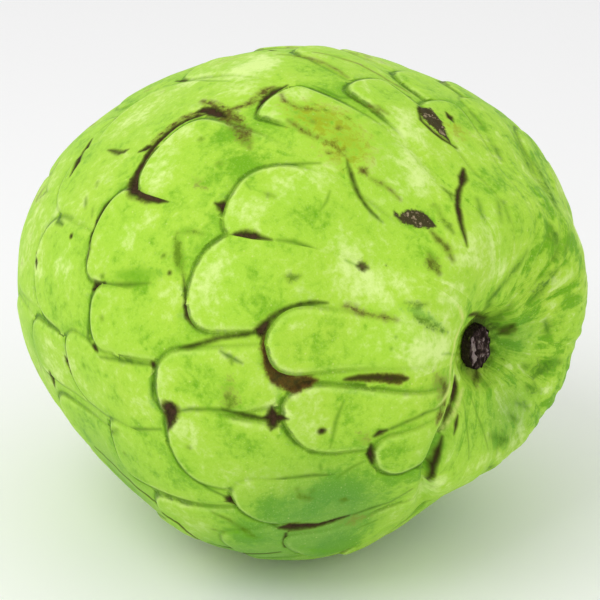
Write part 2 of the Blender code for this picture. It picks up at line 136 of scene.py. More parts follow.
marks = (   # kind, the scale that lies over it, then points: x, y and half width in the photo's pixels
    ("dark", "s1", (208, 113, 1.6), (196, 116, 2.2), (186, 120, 2.2), (176, 126, 2.6), (167, 133, 3),
        (158, 141, 3), (150, 150, 3), (144, 160, 2.6), (138, 171, 3), (134, 181, 5), (138, 190, 7),
        (149, 196, 5.5), (159, 200, 3), (168, 202, 1.2)),
    ("dark", "", (139, 151, 2.6), (146, 148, 3.2), (151, 146, 3)),
    ("dark", "", (196, 112, 2), (204, 109, 4), (212, 111, 5.5), (219, 114, 4), (226, 117, 2)),
    ("brown", "", (202, 101, 4), (216, 107, 6), (228, 116, 7), (236, 124, 7.5), (242, 133, 7), (247,
        141, 5), (250, 148, 2)),
    ("brown", "", (238, 126, 5), (247, 136, 5)),
    ("dark0", "", (108, 150, 1), (113, 150.5, 2), (119, 152.5, 3), (124, 151, 2), (128, 149, 1)),
    ("dark", "", (92, 139, 1.5), (85, 150, 3), (77, 163, 3.5), (70, 176, 1.5)),
    ("edge", "s14", (67, 182, 1.5), (61, 198, 2.5), (61, 212, 2.5), (58, 221, 3.5), (63, 225, 3)),
    ("dark", "", (71, 235, 2), (72, 237, 2)),
    ("creaseShade", "", (114, 198, 1.6), (106, 207, 2.2), (98.5, 220, 2.6), (93, 234, 2.6), (89, 250, 2.6),
        (87, 268, 2)),
    ("dark", "", (176, 81, 1.2), (187, 81, 1.8)),
    ("faint", "", (187, 81, 1), (230, 81, 1)),
    ("faint", "", (101, 130, 1), (111, 123, 1.2)),
    ("dark", "", (269, 50.5, 1.5), (276, 50.8, 1.5)),
    ("dark", "s19", (262, 118, 1.4), (259, 111, 2.6), (262, 102, 2.4), (269, 95, 2.6), (278, 89, 2.8),
        (287, 85, 1.6)),
    ("brown", "s19", (253, 104, 3), (262, 96, 4), (272, 89, 4)),
    ("brown", "", (288, 120, 1.2), (299, 128, 2), (312, 136, 1.8), (324, 141, 2), (336, 148, 2), (346,
        157, 1.4)),
    ("edge", "s19", (261, 119, 1), (277, 124, 1.2), (290, 126, 1.2), (299, 127, 1)),
    ("stain", "", (288, 106, 9), (310, 112, 13), (330, 122, 16), (346, 138, 17), (355, 152, 12), (352,
        163, 6)),
    ("smudge", "", (324, 109.5, 2), (328, 111, 1.8)),
    ("brown", "", (337, 129, 2.2), (341, 129, 1.5)),
    ("brown", "", (327, 153, 1.6), (331, 154, 1.5)),
    ("smudge", "", (299, 127, 1.6), (302, 129, 1.6)),
    ("olive", "s21", (352, 86, 1.2), (352, 94, 1.5), (357, 100, 1.8), (366, 105, 1.5)),
    ("brown", "", (368, 106, 2), (378, 109, 3), (387, 113, 2)),
    ("creaseShade", "", (347, 161, 1), (350, 172, 1.4), (354, 184, 1.6), (359, 196, 1.4), (367, 207, 1), (378,
        218, 0.7)),
    ("brown", "", (361, 169, 3), (366, 174, 3.5)),
    ("brown", "", (371, 179, 1.5), (379, 183, 2), (389, 189, 1.5), (400, 200, 1)),
    ("dark", "s2", (215, 203, 1.6), (222, 206, 4), (227, 211, 3), (231, 219, 1.8), (235, 230, 1.2)),
    ("edge", "s2", (320, 163, 1.5), (297, 164, 2), (280, 166, 2.2), (266, 170, 2.2), (250, 176, 2.5),
        (239, 184, 2.5), (231, 196, 2.5), (225, 206, 2.5)),
    ("dark", "s3", (228, 237, 1.2), (236, 236, 3), (244, 235.5, 4.2), (252, 236, 3.8), (261, 238, 2),
        (272, 240, 1)),
    ("edge", "s3", (277, 240, 1.2), (294, 242, 1.8), (309, 248, 2), (321, 253, 1.5)),
    ("faint", "", (330, 191, 1), (327, 201, 1.2), (320, 211, 1)),
    ("scab", "", (400, 219, 5), (410, 218, 8), (420, 219, 8.5), (428, 223, 6), (435, 226, 3)),
    ("scab", "", (394, 211, 1.2), (398, 218, 3)),
    ("olive", "", (431, 231, 2.5), (439, 240, 3), (447, 249, 3.5), (452, 260, 3.5)),
    ("olive", "", (429, 254, 3.5), (433, 263, 6), (438, 272, 5.5)),
    ("dark", "", (464, 169, 3.2), (463, 178, 3.6), (461, 187, 3)),
    ("dark", "", (461, 184, 2.6), (459, 191, 2.2), (458, 206, 2.2), (461, 223, 2.2), (464, 234, 1.8),
        (467, 246, 1)),
    ("smudge", "", (443, 188, 3), (450, 194, 3.5), (452, 200, 2)),
    ("smudge", "", (432, 206, 1.5), (436, 206, 2), (443, 219, 2), (449, 226, 3), (453, 233, 2)),
    ("scab", "", (418, 106, 2), (425, 113, 8), (433, 122, 9), (442, 133, 5), (450, 143, 2.5)),
    ("dark", "", (418, 108, 1.5), (421, 120, 1.5), (432, 131, 1.5), (442, 139, 1.5), (456, 148, 1.2)),
    ("dark", "", (446, 113, 2), (450, 118, 3), (453, 122, 1.5)),
    ("stain", "", (450, 125, 6), (460, 132, 6)),
    ("streak", "", (470, 113, 1.5), (478, 122, 2.5), (484, 129, 1.5)),
    ("streak", "", (489, 140, 1.5), (496, 150, 2.5), (501, 159, 1.5)),
    ("streak", "", (513, 134, 2), (522, 150, 2.5), (529, 164, 2.5), (535, 177, 2)),
    ("streak", "", (532, 160, 3), (542, 176, 4.5), (550, 192, 5.5), (556, 208, 4.5)),
    ("streak", "", (553, 226, 4), (556, 242, 5.5), (556, 258, 5)),
    ("streak", "", (568, 236, 1.5), (564, 254, 2)),
    ("streak", "", (548, 225, 1.2), (552, 241, 1.5)),
    ("streak", "", (477, 199, 1.5), (481, 214, 2), (485, 222, 1.2)),
    ("streak", "", (498, 202, 1), (501, 221, 1.2)),
    ("streak", "", (503, 202, 1), (509, 220, 1.2)),
    ("streak", "", (530, 302, 4), (539, 291, 6), (548, 281, 6), (558, 270, 3.5)),
    ("streak", "", (480, 313, 2.5), (488, 302, 3), (500, 288, 3), (513, 272, 3), (527, 252, 2)),
    ("faint", "", (491, 319, 1.5), (502, 320, 1.5)),
    ("creaseShade", "", (498, 334, 1.6), (504, 331, 3), (509, 328, 3), (514, 324, 1.6)),
    ("streak", "", (524, 366, 4), (536, 370, 6.5), (548, 366, 6), (562, 362, 3.5)),
    ("streak", "", (527, 386, 3), (534, 390, 4.5), (541, 392, 3)),
    ("streak", "", (516, 402, 2.4), (523, 405, 3), (528, 408, 2)),
    ("streak", "", (509, 414, 1.5), (517, 421, 2)),
    ("streak", "", (490, 436, 4), (500, 440, 5.5), (508, 440, 4)),
    ("streak", "", (489, 466, 3), (494, 470, 3)),
    ("streak", "", (545, 322, 4), (548, 334, 3.5)),
    ("smudge", "", (404, 303, 1.6), (416, 305, 2.8), (427, 304, 1.8)),
    ("smudge", "", (414, 316, 2.2), (427, 324, 3.6), (438, 329, 3), (447, 332, 1.6)),
    ("faint", "", (442, 354, 1), (458, 353, 1)),
    ("dark0", "", (344, 380, 1.2), (358, 378, 2), (379, 378, 2.6), (393, 379, 3), (406, 379, 3.5)),
    ("rust", "", (346, 379, 2), (362, 378, 3), (379, 378, 4), (398, 379, 5), (408, 378, 2)),
    ("brown0", "", (436, 376, 7), (443, 386, 9), (441, 398, 8)),
    ("brown", "", (446, 399, 2.4), (443, 406, 4.5), (440, 414, 4.5), (437, 423, 3)),
    ("dark", "", (455, 376, 1.2), (455, 384, 2.4), (454, 391, 2.8), (452.5, 398, 2.6), (450.5, 404,
        2.2)),
    ("dark", "", (458, 415, 1.2), (456.5, 424, 2.2), (454, 434, 1.2)),
    ("dark", "", (442, 436, 1.4), (438, 450, 2), (433, 465, 2.4), (427, 479, 1.6)),
    ("pale", "", (458, 306, 1.4), (461, 313, 2), (463, 319, 2.2), (460.5, 327, 2), (458, 333, 1.8),
        (456, 339, 1.8), (454.8, 345, 1.8), (453.6, 351, 1.7), (452, 357, 1.7), (451.2, 363, 1.7),
        (450.6, 370, 1.7), (450.2, 378, 1.7)),
    ("pale", "", (450.5, 378, 1.7), (450, 386, 1.8), (448, 393, 2), (443, 400, 1.8), (436, 407, 1.2)),
    ("pale", "", (463, 389, 1.8), (460, 397, 2), (456.5, 406, 2), (451, 416, 2), (446, 424, 1.8), (440,
        431, 1.2)),
    ("brown0", "", (468, 366, 4), (471, 373, 5.5), (473, 381, 4)),
    ("dark0", "", (468, 316, 1.4), (476, 314, 2.2), (485, 318, 2)),
    ("dark", "", (36.5, 253, 1.3), (36.7, 262, 2), (36.5, 268, 1.2)),
    ("dark", "s13", (65, 357, 2), (68, 363, 3.5), (71, 373, 2)),
    ("dark", "", (50, 372, 2), (53, 378, 3), (55, 386, 2)),
    ("smudge", "", (110, 429, 2.5), (114, 432, 3), (118, 430, 2)),
    ("dark", "s11", (93, 290, 2.5), (97, 287, 3.5), (106, 283, 2.5)),
    ("edge", "s11", (106, 284, 2.5), (127, 285, 2.5), (150, 283, 1.5)),
    ("deepGreen", "", (118, 275, 5), (140, 274, 7), (162, 274, 5)),
    ("edge", "s11", (92, 296, 2), (89, 318, 2), (88, 338, 2), (93, 347, 2)),
    ("dark", "s11", (93, 345, 2), (97, 351, 2.5)),
    ("edge", "s11", (100, 357, 2), (117, 359, 2.5), (136, 363, 2), (150, 365, 2)),
    ("dark", "", (152, 363, 2.5), (154, 366, 2.5)),
    ("creaseShade", "", (180, 348, 1), (192, 346, 1.5), (206, 342, 1.8), (220, 338, 2), (232, 336, 1.8), (246,
        334, 1.8), (258, 332, 2.2)),
    ("edge", "s10", (153, 368, 1.5), (152, 386, 1.8), (153, 398, 1.8), (160, 407, 1.5)),
    ("dark", "", (170, 404, 5.5), (170, 410, 7), (170, 417, 5), (169.5, 424, 3), (168, 431, 1)),
    ("edge", "s16", (114, 431, 1.5), (136, 429, 1.5), (161, 429, 1.5)),
    ("creaseShade", "s3", (183, 276, 1), (185, 290, 1.4), (186, 302, 1.8), (190, 316, 2), (198, 325, 1.8),
        (210, 331, 1.4), (224, 332, 1)),
    ("smudge", "", (176, 234, 3), (177, 243, 4), (178, 256, 4), (181, 268, 4), (186, 277, 2.5)),
    ("smudge", "", (101, 318, 1.8), (102, 319, 1.8)),
    ("smudge", "", (163, 255, 2), (164, 256, 2)),
    ("dark0", "", (169, 273, 1.6), (170, 273, 1.6)),
    ("smudge", "", (102, 276, 2), (104, 278, 2)),
    ("smudge", "", (83, 365, 1.5), (84, 366, 1.5)),
    ("smudge", "", (124, 454, 1.5), (126, 454, 1.5)),
    ("smudge", "", (187, 447, 2), (189, 448, 2)),
    ("dark0", "", (357, 266, 2), (363, 266, 3.5), (368, 268, 2.5)),
    ("faint", "", (345, 260, 1), (356, 265, 1.2)),
    ("smudge", "", (286, 277, 3), (291, 278, 3.5), (300, 276, 2)),
    ("dark", "s4", (256, 333, 2.5), (261, 331, 4.5), (265, 325, 3.5), (272, 318, 2)),
    ("edge", "s4", (280, 313, 2), (291, 308, 2), (309, 304, 1.8), (325, 303, 1.2)),
    ("brown", "", (342, 306, 1.5), (350, 307, 3), (362, 313, 2), (377, 316, 1.8), (389, 318, 3), (397,
        320, 1.5)),
    ("rust", "s4", (264, 336, 4), (266, 347, 5), (270, 361, 7), (277, 373, 9), (288, 382, 8), (296, 385,
        7), (307, 381, 6), (317, 380, 3)),
    ("smudge", "", (290, 400, 1.8), (290, 407, 2.2)),
    ("edge", "", (221, 351, 1.6), (231, 357, 2.2), (242, 363, 1.6)),
    ("edge", "", (231, 358, 1.5), (232, 364, 1.3)),
    ("brown0", "", (229, 378, 3), (230, 390, 4), (232, 402, 6), (238, 404, 3)),
    ("smudge", "", (226, 397, 2.5), (232, 400, 3), (229, 409, 2.5)),
    ("creaseShade", "", (222, 409, 1), (238, 413, 1.4), (252, 416, 1.8), (264, 419, 2.4)),
    ("dark", "", (272, 406, 1.2), (272, 412, 3.2), (273, 418, 5), (273, 424, 3.5), (271, 430, 1)),
    ("dark", "", (260, 418, 1), (267, 418, 2.4), (274, 419, 3), (281, 418, 2.4), (288, 419, 1)),
    ("edge", "s5", (283, 423, 1.2), (288, 436, 1.5), (299, 443, 1.8), (312, 449, 1.8), (327, 453, 2)),
    ("dark", "", (321.5, 430.5, 2.6), (322.5, 431, 2.6)),
    ("faint", "", (344, 401, 1), (337, 417, 1.8), (334, 431, 1.8), (330, 448, 1.5)),
    ("dark", "s6", (374, 436, 2), (380, 432, 2.5), (386, 430, 2.2)),
    ("edge", "s6", (386, 430, 2), (405, 422, 1.5), (426, 412, 1.5), (440, 407, 1.5)),
    ("dark", "", (371, 444, 2.2), (370, 454, 2.8), (372, 463, 2.6)),
    ("edge", "s6", (374, 467, 1.5), (388, 471, 1.5), (405, 467, 1.3), (426, 459, 1)),
    ("brown0", "", (362, 434, 3.5), (366, 442, 4)),
    ("faint", "", (396, 336, 1), (396, 338, 1)),
    ("faint", "", (391, 347, 1.2), (391, 350, 1.2)),
    ("edge", "s9", (168, 432, 2), (172, 446, 1.8), (179, 463, 1.8), (190, 475, 1.8), (208, 488, 1.8),
        (224, 496, 2)),
    ("dark", "s7", (229, 497, 3), (232, 500, 5), (237, 503, 4), (243, 508, 2.5)),
    ("edge", "s7", (238, 491, 1.5), (258, 484, 1.8), (286, 478, 1.5), (314, 475, 1.5), (334, 475, 1.5)),
    ("edge", "s7", (243, 508, 2), (259, 519, 2.5), (279, 529, 2.5)),
    ("dark", "", (95, 447, 1.2), (127, 478, 1), (150, 497, 1.2), (179, 523, 1.2), (209, 543, 1.5), (228,
        548, 1.5), (280, 552, 1.3)),
    ("smudge", "", (212, 512, 1.5), (228, 520, 2), (240, 527, 3), (256, 537, 3)),
    ("smudge", "", (213, 529, 1.5), (223, 531, 2)),
    ("deepGreen", "", (228, 531, 4), (245, 535, 5), (258, 538, 4)),
    ("dark", "s8", (280, 528, 3), (292, 527, 4.5), (305, 526, 4), (318, 525, 2.5), (335, 520, 2), (349,
        516, 2)),
    ("edge", "s8", (349, 516, 2), (370, 509, 1.8), (391, 502, 1.5), (412, 489, 1.3)),
    ("dark", "s8", (286, 533, 2), (285, 547, 1.8)),
    ("brown0", "", (342, 521, 5), (355, 519, 5), (367, 517, 3)),
    ("faint", "", (360, 527, 1.5), (377, 520, 1.8)),
    ("deepGreen", "", (302, 548, 3), (320, 551, 3.5), (342, 549, 3)),
    ("smudge", "", (297, 488, 2), (300, 496, 2.5), (309, 498, 2.5), (313, 490, 2)),
    ("smudge", "", (341, 500, 3), (347, 500, 3)),
    ("faint", "", (320, 464, 1.5), (321, 470, 1.5)),
    ("faint", "", (337, 478, 1.5), (353, 467, 1.5), (365, 461, 1.8)),
    ("smudge", "", (201, 138, 2), (201, 141, 2)),
    ("brown0", "", (193, 180, 2), (199, 183, 2.5), (205, 186, 2)),
    ("smudge", "", (218, 163, 2.5), (220, 164, 2.5)),
    ("smudge", "", (176, 233, 2), (190, 231, 2.2), (203, 234, 2)),
    ("smudge", "", (97, 182, 1.5), (97, 186, 1.5)),
    ("smudge", "", (86, 198, 1.5), (86, 208, 1.5)),
    ("smudge", "", (93, 208, 1.5), (92, 217, 1.5)),
    ("smudge", "", (263, 193, 2), (274, 197, 2)),
    ("brown", "", (277, 54.7, 0.8), (302, 56.8, 1), (325, 63, 1.2), (339, 71, 1.2), (348, 78, 1.2)),
    ("brown", "", (314, 52.6, 0.8), (330, 55.4, 0.8), (360, 65, 1), (371, 71, 1), (384, 78, 1.2), (409,
        92, 1.2)),
    ("edge", "s21", (352, 85, 1.5), (358, 81, 1.5), (372, 81, 1.2), (386, 86, 1.5), (398, 92, 1.8),
        (410, 97, 1.8)),
    ("faint", "", (312, 85, 1), (330, 93, 2), (339, 97, 2), (353, 99, 2)),
    ("edge", "s24", (364, 204, 1.6), (372, 214, 1.5), (382, 222, 1.5)),
    ("brown", "", (222, 111, 3), (236, 108, 3), (249, 104, 3.5), (257, 98, 4), (265, 91, 4.5), (274, 87,
        4)),
    ("creaseShade", "s4", (262, 328, 3), (270, 319, 2.4), (280, 312, 2), (291, 307, 1.6), (303, 303.5, 1.3),
        (316, 302, 1.1), (328, 303, 0.8)),
    ("edge", "", (172, 412, 1), (190, 409, 1.6), (210, 409, 1.7), (225, 410, 1.9), (240, 413, 2.2),
        (252, 416, 2.4), (262, 418, 2.6)),
    ("brown", "", (279, 90, 1.4), (283, 99, 1.8), (292, 105, 2.2), (304, 108, 2), (318, 110, 1.4)),
    ("stain", "", (318, 128, 12), (338, 144, 14), (350, 156, 9)),
    ("brown", "s1", (212, 111, 5), (198, 113, 5), (184, 118, 5), (172, 126, 5.5), (161, 136, 6), (152,
        146, 5), (146, 158, 3.5), (142, 170, 2.5)),
    ("dark", "s3", (185, 296, 1), (187, 306, 3.2), (190, 315, 4), (196, 323, 3), (204, 329, 1.2)),
    ("brown", "", (312, 121, 1.3), (314, 123, 1.3)),
    ("smudge", "", (346, 117, 1.6), (349, 119, 1.4)),
    ("brown", "", (333, 141, 1.2), (336, 143, 1.4)),
    ("smudge", "", (319, 139, 1.6), (322, 141, 1.8), (326, 141, 1.4)),
    ("brown", "", (344, 150, 1.3), (346, 152, 1.3)),
    ("smudge", "", (310, 104, 1.3), (314, 104, 1.5)),
    ("dark0", "", (451, 403, 2), (448.5, 409, 2.6), (446, 415, 2.4), (443, 423, 1.6)),
    ("olive", "", (441, 380, 3.5), (445, 388, 4.5), (443, 396, 3.5)),
    ("deepGreen", "", (401, 304, 3), (416, 312, 4.5), (432, 322, 5), (445, 330, 3)),
    ("dark0", "", (476, 367, 1.2), (477, 375, 1.8), (474, 384, 1.2)),
    ("streak", "", (480, 313, 1.8), (486, 306, 1.8), (491, 299, 1.2)),
    ("streak", "", (486, 323, 2), (496, 318, 2.6), (504, 312, 2.6), (512, 302, 2)),
    ("streak", "", (482, 382, 2.2), (487, 384, 2)),
    ("faint", "", (463, 400, 0.8), (467, 430, 1.2), (469, 460, 1)),
    ("faint", "", (470, 395, 0.8), (481, 425, 1.2), (488, 450, 1)),
    ("faint", "", (245, 182, 0.8), (251, 190, 0.8)),
)

tonePools = (   # strength (below 0 for deeper green), x, y and radius in the photo's pixels; tone that differs over the skin, with painted shade in the deep pools along the bottom and painted highlights in pale pools towards the top left
    (0.5, 158, 168, 20), (0.3, 140, 115, 24), (0.8, 250, 68, 28), (0.8, 195, 80, 22),
    (0.6, 275, 113, 11), (0.4, 300, 97, 15), (0.5, 373, 93, 11), (0.55, 400, 165, 30),
    (0.4, 345, 245, 22), (0.25, 375, 277, 28), (0.6, 405, 335, 28), (0.3, 448, 290, 18),
    (0.35, 312, 178, 18), (0.5, 437, 347, 18), (0.4, 58, 205, 16), (0.35, 38, 270, 12),
    (0.5, 66, 270, 16), (0.2, 130, 235, 18), (0.2, 207, 280, 18), (0.1, 150, 465, 20),
    (0.3, 98, 408, 12), (0.1, 385, 452, 12), (0.7, 490, 225, 22), (0.7, 500, 270, 16),
    (0.3, 458, 452, 16), (0.6, 265, 58, 26), (0.3, 360, 350, 22), (0.4, 475, 150, 14),
    (0.25, 130, 325, 16), (0.1, 200, 370, 14), (0, 235, 445, 18), (-1.2, 247, 165, 22),
    (-0.6, 222, 138, 14), (-0.3, 332, 96, 12), (-0.35, 120, 395, 16), (-0.35, 138, 424, 12),
    (-0.9, 345, 490, 30), (-0.45, 315, 500, 20), (-0.45, 410, 480, 24), (-1.3, 250, 537, 18),
    (-1.9, 340, 548, 24), (-0.6, 556, 330, 15), (-0.6, 545, 365, 14), (-0.5, 532, 300, 16),
    (-0.5, 500, 440, 15), (-0.6, 505, 350, 16), (-0.5, 560, 265, 14), (-0.1, 480, 150, 14),
    (-0.3, 505, 175, 14), (-0.5, 178, 258, 12), (-0.5, 130, 280, 14), (-0.4, 215, 215, 12),
    (-0.6, 330, 330, 14), (-0.5, 350, 395, 14), (-0.4, 290, 150, 14), (-0.5, 545, 200, 18),
    (-0.4, 470, 395, 12), (-0.4, 430, 395, 14), (0.5, 405, 125, 26), (0.4, 425, 180, 18),
    (0.4, 375, 215, 14), (0.35, 440, 320, 14), (0.4, 445, 350, 12), (0.3, 300, 330, 18),
    (0.6, 250, 66, 30), (0.25, 232, 280, 30), (-0.5, 300, 345, 24), (-0.25, 232, 440, 26),
    (-0.3, 330, 410, 22), (-0.7, 385, 452, 22), (-0.9, 272, 506, 22), (0.45, 425, 352, 20),
    (0.15, 500, 255, 24), (-0.7, 566, 300, 18), (0.7, 62, 255, 20), (0.35, 128, 232, 20),
    (0.05, 400, 325, 20), (0.35, 290, 200, 24), (-0.4, 40, 240, 14), (0.55, 400, 200, 22),
    (0.9, 457, 300, 14), (0.6, 515, 360, 16), (-0.3, 185, 385, 18), (0.5, 470, 255, 16),
    (0.6, 452, 452, 13), (0.5, 441, 480, 11), (0.4, 461, 425, 8), (-0.5, 340, 492, 18),
    (-0.4, 330, 480, 26), (0.5, 430, 490, 26), (-0.5, 370, 520, 21),
)

coolShadePools = (   # strength, angle, turn, radius: painted shade, the colder, darker green low down and in the dish
    (0.8, 54, 128, 12.0), (0.8, 75, 140, 12.0), (0.5, 105, 130, 14.0), (0.45, 28, 121, 6.0),
    (0.6, 20, 200, 9.0), (0.5, 60, 190, 20.0), (0.4, 126, 97, 7.0), (0.5, 12, 270, 6.0),
    (0.35, 60, 122, 26.0), (0.3, 102, 115, 20.0),
)

quietPools = (   # strength, angle, turn, radius: where the seams fade out
    (1.0, 124.6, 41.5, 5.0), (0.9, 72, 26, 7.0), (0.9, 60, 33, 5.0), (0.9, 62, 19.5, 6.0),
    (0.9, 51, 7, 8.0), (0.9, 36, 20, 8.0), (0.9, 37, 45, 6.0), (1.0, 88.5, 238, 4.5),
)

# red, green, blue, strength, softness, height, raggedness, core, mottling
lookColumns = {"Soft": 4, "Dip": 5, "Ragged": 6, "Core": 7, "Mottled": 8}
noLook = (0, 0, 0, 0, 0.4, 0, 0, 0, 0)
markLooks = {
    "dark": (0.022, 0.015, 0.005, 0.96, 0.50, -0.40, 0.45, 0.0, 0.0),
    "dark0": (0.040, 0.048, 0.006, 0.88, 0.48, -0.12, 0.7, 0.0, 0.1),
    # the two kinds below: painted shade in the creases along the scales' edges, the first darker
    "creaseShade": (0.036, 0.078, 0.003, 0.88, 0.50, -0.16, 0.5, 0.0, 0.2),
    "edge": (0.056, 0.150, 0.003, 0.78, 0.52, -0.06, 0.5, 0.0, 0.2),
    "faint": (0.110, 0.280, 0.008, 0.66, 0.40, -0.03, 0.8, 0.0, 0.2),
    "smudge": (0.115, 0.240, 0.006, 0.74, 0.70, 0.0, 1.2, 0.0, 0.6),
    "streak": (0.085, 0.240, 0.010, 0.78, 1.10, 0.0, 1.4, 0.0, 0.55),
    "pale": (0.700, 0.790, 0.220, 0.74, 0.50, 0.10, 0.6, 0.0, 0.3),
    "brown": (0.140, 0.120, 0.014, 0.84, 0.80, -0.05, 1.1, -0.35, 0.5),
    "brown0": (0.230, 0.280, 0.040, 0.60, 0.90, 0.0, 1.0, 0.0, 0.5),
    "olive": (0.115, 0.145, 0.012, 0.82, 0.75, -0.05, 1.0, 0.0, 0.35),
    "rust": (0.110, 0.046, 0.010, 0.95, 0.50, -0.25, 0.5, -1.0, 0.0),
    "stain": (0.340, 0.420, 0.010, 0.74, 2.40, 0.0, 2.2, 0.0, 0.75),
    "scab": (0.050, 0.030, 0.018, 0.96, 0.32, 0.25, 0.7, 1.0, 0.0),
    # deepGreen: painted shade in bands beside a scale's edge, along the lip's fold and low down near the
    # floor
    "deepGreen": (0.140, 0.400, 0.008, 0.62, 0.90, 0.0, 0.8, 0.0, 0.4),
}
markLayers = {   # painted in this order
    "blur": ("stain", "deepGreen", "brown0"),
    "patch": ("brown", "olive", "rust", "scab", "smudge", "streak"),
    "line": ("edge", "faint", "pale"),
    "gap": ("dark", "dark0", "creaseShade"),
}

skinGrains = {   # scale, detail, roughness, twist; fans: lines round the dish, then along them
    "wobble": (0.9, 3.0, 0.6), "fine": (3.2, 3.0, 0.65), "broad": (0.09, 3.0, 0.55),
    "mottle": (0.34, 4.0, 0.6, 0.6), "patchy": (0.15, 2.0, 0.5), "dots": (0.25, 1.0),
    "streak": (4.6, 7.0, 5.0, 0.62, 1.2), "fineStreak": (40.0, 3.0, 2.0, 0.6),
}

skinLook = {   # linear colours, shares from 0 to 1, lengths in mm
    "mid": (0.405, 0.700, 0.052), "yellow": (0.505, 0.720, 0.068), "yellowShare": 0.45,
    "yellowBroad": 2.0, "yellowMottle": 0.8, "yellowFrom": 0.35,
    "pale": (0.700, 0.900, 0.280), "deep": (0.180, 0.440, 0.012), "toneSpan": (0.0, 1.1),
    # cool: painted shade low down and in the dish
    "cool": (0.116, 0.320, 0.055), "coolShare": 0.75,
    "scaleTone": 0.2, "tipward": 0.2, "darker": 0.12,
    "mottle": 1.9, "broad": 2.6, "speckle": 1.5, "streak": 5.5, "fineStreak": 0.5, "paleStreak": 0.7,
    "edgeDepth": (0.12, 0.6),
    # rim: a painted highlight along each scale's edge; under: painted shade in the strip beside it
    "rim": 0.32, "rimAt": 0.8, "rimWidth": 0.75, "rimSide": (-0.1, 0.7), "rimMottle": 4,
    "under": 0.8, "underWidth": 2.6, "underMottle": 3, "underFrom": 0.15, "underSide": (-0.4, 0.7),
    # seam: painted shade in the creases between the scales; knot: real brown knots in them
    "seam": 0.33, "seamShare": 0.82, "seamColour": (0.056, 0.150, 0.002), "seamRagged": 2.5,
    "seamSoft": (-0.50, 0.20), "seamDepth": (0.1, 0.5),
    "knot": 1.5, "knotColour": (0.045, 0.026, 0.012), "knotWobble": 0.25, "knotFrom": (0.04, 0.13),
    "blot": 0.55, "blotColour": (0.170, 0.185, 0.012), "blotPatchy": 0.5, "blotMottle": 0.6,
    "blotFrom": (0.10, 0.22),
    "speck": 0.85, "speckColour": (0.080, 0.060, 0.016), "speckScale": 0.2, "speckSize": 0.075,
    "speckWobble": 0.12, "speckSoft": (-0.015, 0.03), "speckFrom": (-0.02, 0.06),
    "dot": 0.35, "dotColour": (0.80, 0.86, 0.30), "dotScale": 0.55, "dotSize": 0.13, "dotSoft": 0.08,
    "dotFrom": 0.55, "grain": 0.28, "grainFrom": (0.02, 0.3),
    "stubShade": 0.9, "stubShadeColour": (0.050, 0.075, 0.008), "stubShadeAside": 0.9,
    "stubShadeOval": 0.84, "stubShadeReach": (0.9, 1.5), "stubShadeFrom": (20.0, 25.0),
    "markMottle": 5.0, "markSpeckle": 3.0, "markGrain": 1.5, "raggedShare": 0.45, "raggedMost": 0.5,
    "coreColour": (0.040, 0.020, 0.006), "spotColour": (0.400, 0.300, 0.200),
    "fringe": 0.8, "fringeColour": (0.105, 0.120, 0.010), "gapBrown": (0.075, 0.036, 0.022),
    "rough": 0.5, "specular": 0.07,
    "fineBump": 0.05, "wobbleBump": 0.05, "mottleBump": 0.18, "seamBump": 0.30, "gapBump": 0.12,
    "dotBump": 0.02, "fineStreakBump": 0.22, "streakBump": 0.25, "patchBump": 0.25,
}

stub = {
    "radius": 4.4, "length": 2.1, "gap": 0.3, "ridges": 7, "ridgeUneven": 1.3, "ridgeDepth": 0.07,
    "oval": 0.72, "aside": 0.7, "crown": 0.9, "crownRidge": 0.55, "crownSlant": 0.4, "slantTurn": 0.8,
    "sides": 168, "wallCuts": 8,
    "insets": (0.03, 0.05, 0.06, 0.07, 0.08, 0.08, 0.09, 0.09, 0.09, 0.09, 0.09),
    "strand": 0.14, "splinter": 0.6, "tear": 0.5,
    "strandAt": -2.7, "strandWidth": 0.5, "strandLength": 2.9, "strandLift": 0.35,
    "wearAndHighlight": (0.42, 0.4, 1.0, 0.45, 2.2), "sideWear": 0.1,   # crown, splinter, tear, less at the rim, strand; pale dry fibre that is partly a painted highlight where the crown stands up
    "fibreStretch": (1.0, 2.2, 0.4), "fibreGrain": (1.3, 4.0, 0.65), "fineGrain": (4.0, 3.0, 0.6),
    "dark": (0.030, 0.018, 0.014), "brown": (0.150, 0.098, 0.090), "dryAndHighlight": (0.520, 0.410, 0.400),
    "rough": 0.85, "specular": 0.15,
}


def smoothCurve(x, xs, ys):   # through the points, level at both ends
    xs, ys = np.asarray(xs, float), np.asarray(ys, float)
    step = np.diff(xs)
    rise = np.diff(ys) / step
    slope = np.zeros(len(xs))
    slope[1:-1] = (rise[:-1] * step[1:] + rise[1:] * step[:-1]) / (step[1:] + step[:-1])
    i = np.clip(np.searchsorted(xs, x, side="right") - 1, 0, len(step) - 1)
    u = np.clip((x - xs[i]) / step[i], 0, 1)
    start = ys[i] * (1 + 2 * u) * (1 - u) ** 2 + step[i] * slope[i] * u * (1 - u) ** 2
    end = ys[i + 1] * u * u * (3 - 2 * u) + step[i] * slope[i + 1] * u * u * (u - 1)
    return start + end


def smoothStep(x, low, high):
    u = np.clip((x - low) / (high - low), 0, 1)
    return u * u * (3 - 2 * u)


def turnBetween(a, b):
    return (a - b + 180) % 360 - 180


def pointing(angle, turn):
    angle, turn = np.radians(angle), np.radians(turn)
    return np.stack([np.cos(angle) + 0 * turn, -np.sin(angle) * np.sin(turn),
                     np.sin(angle) * np.cos(turn)], axis=-1)


def angleTurn(ball):
    angle = np.degrees(np.arccos(np.clip(ball[:, 0], -1, 1)))
    return angle, np.degrees(np.arctan2(-ball[:, 1], ball[:, 2])) % 360


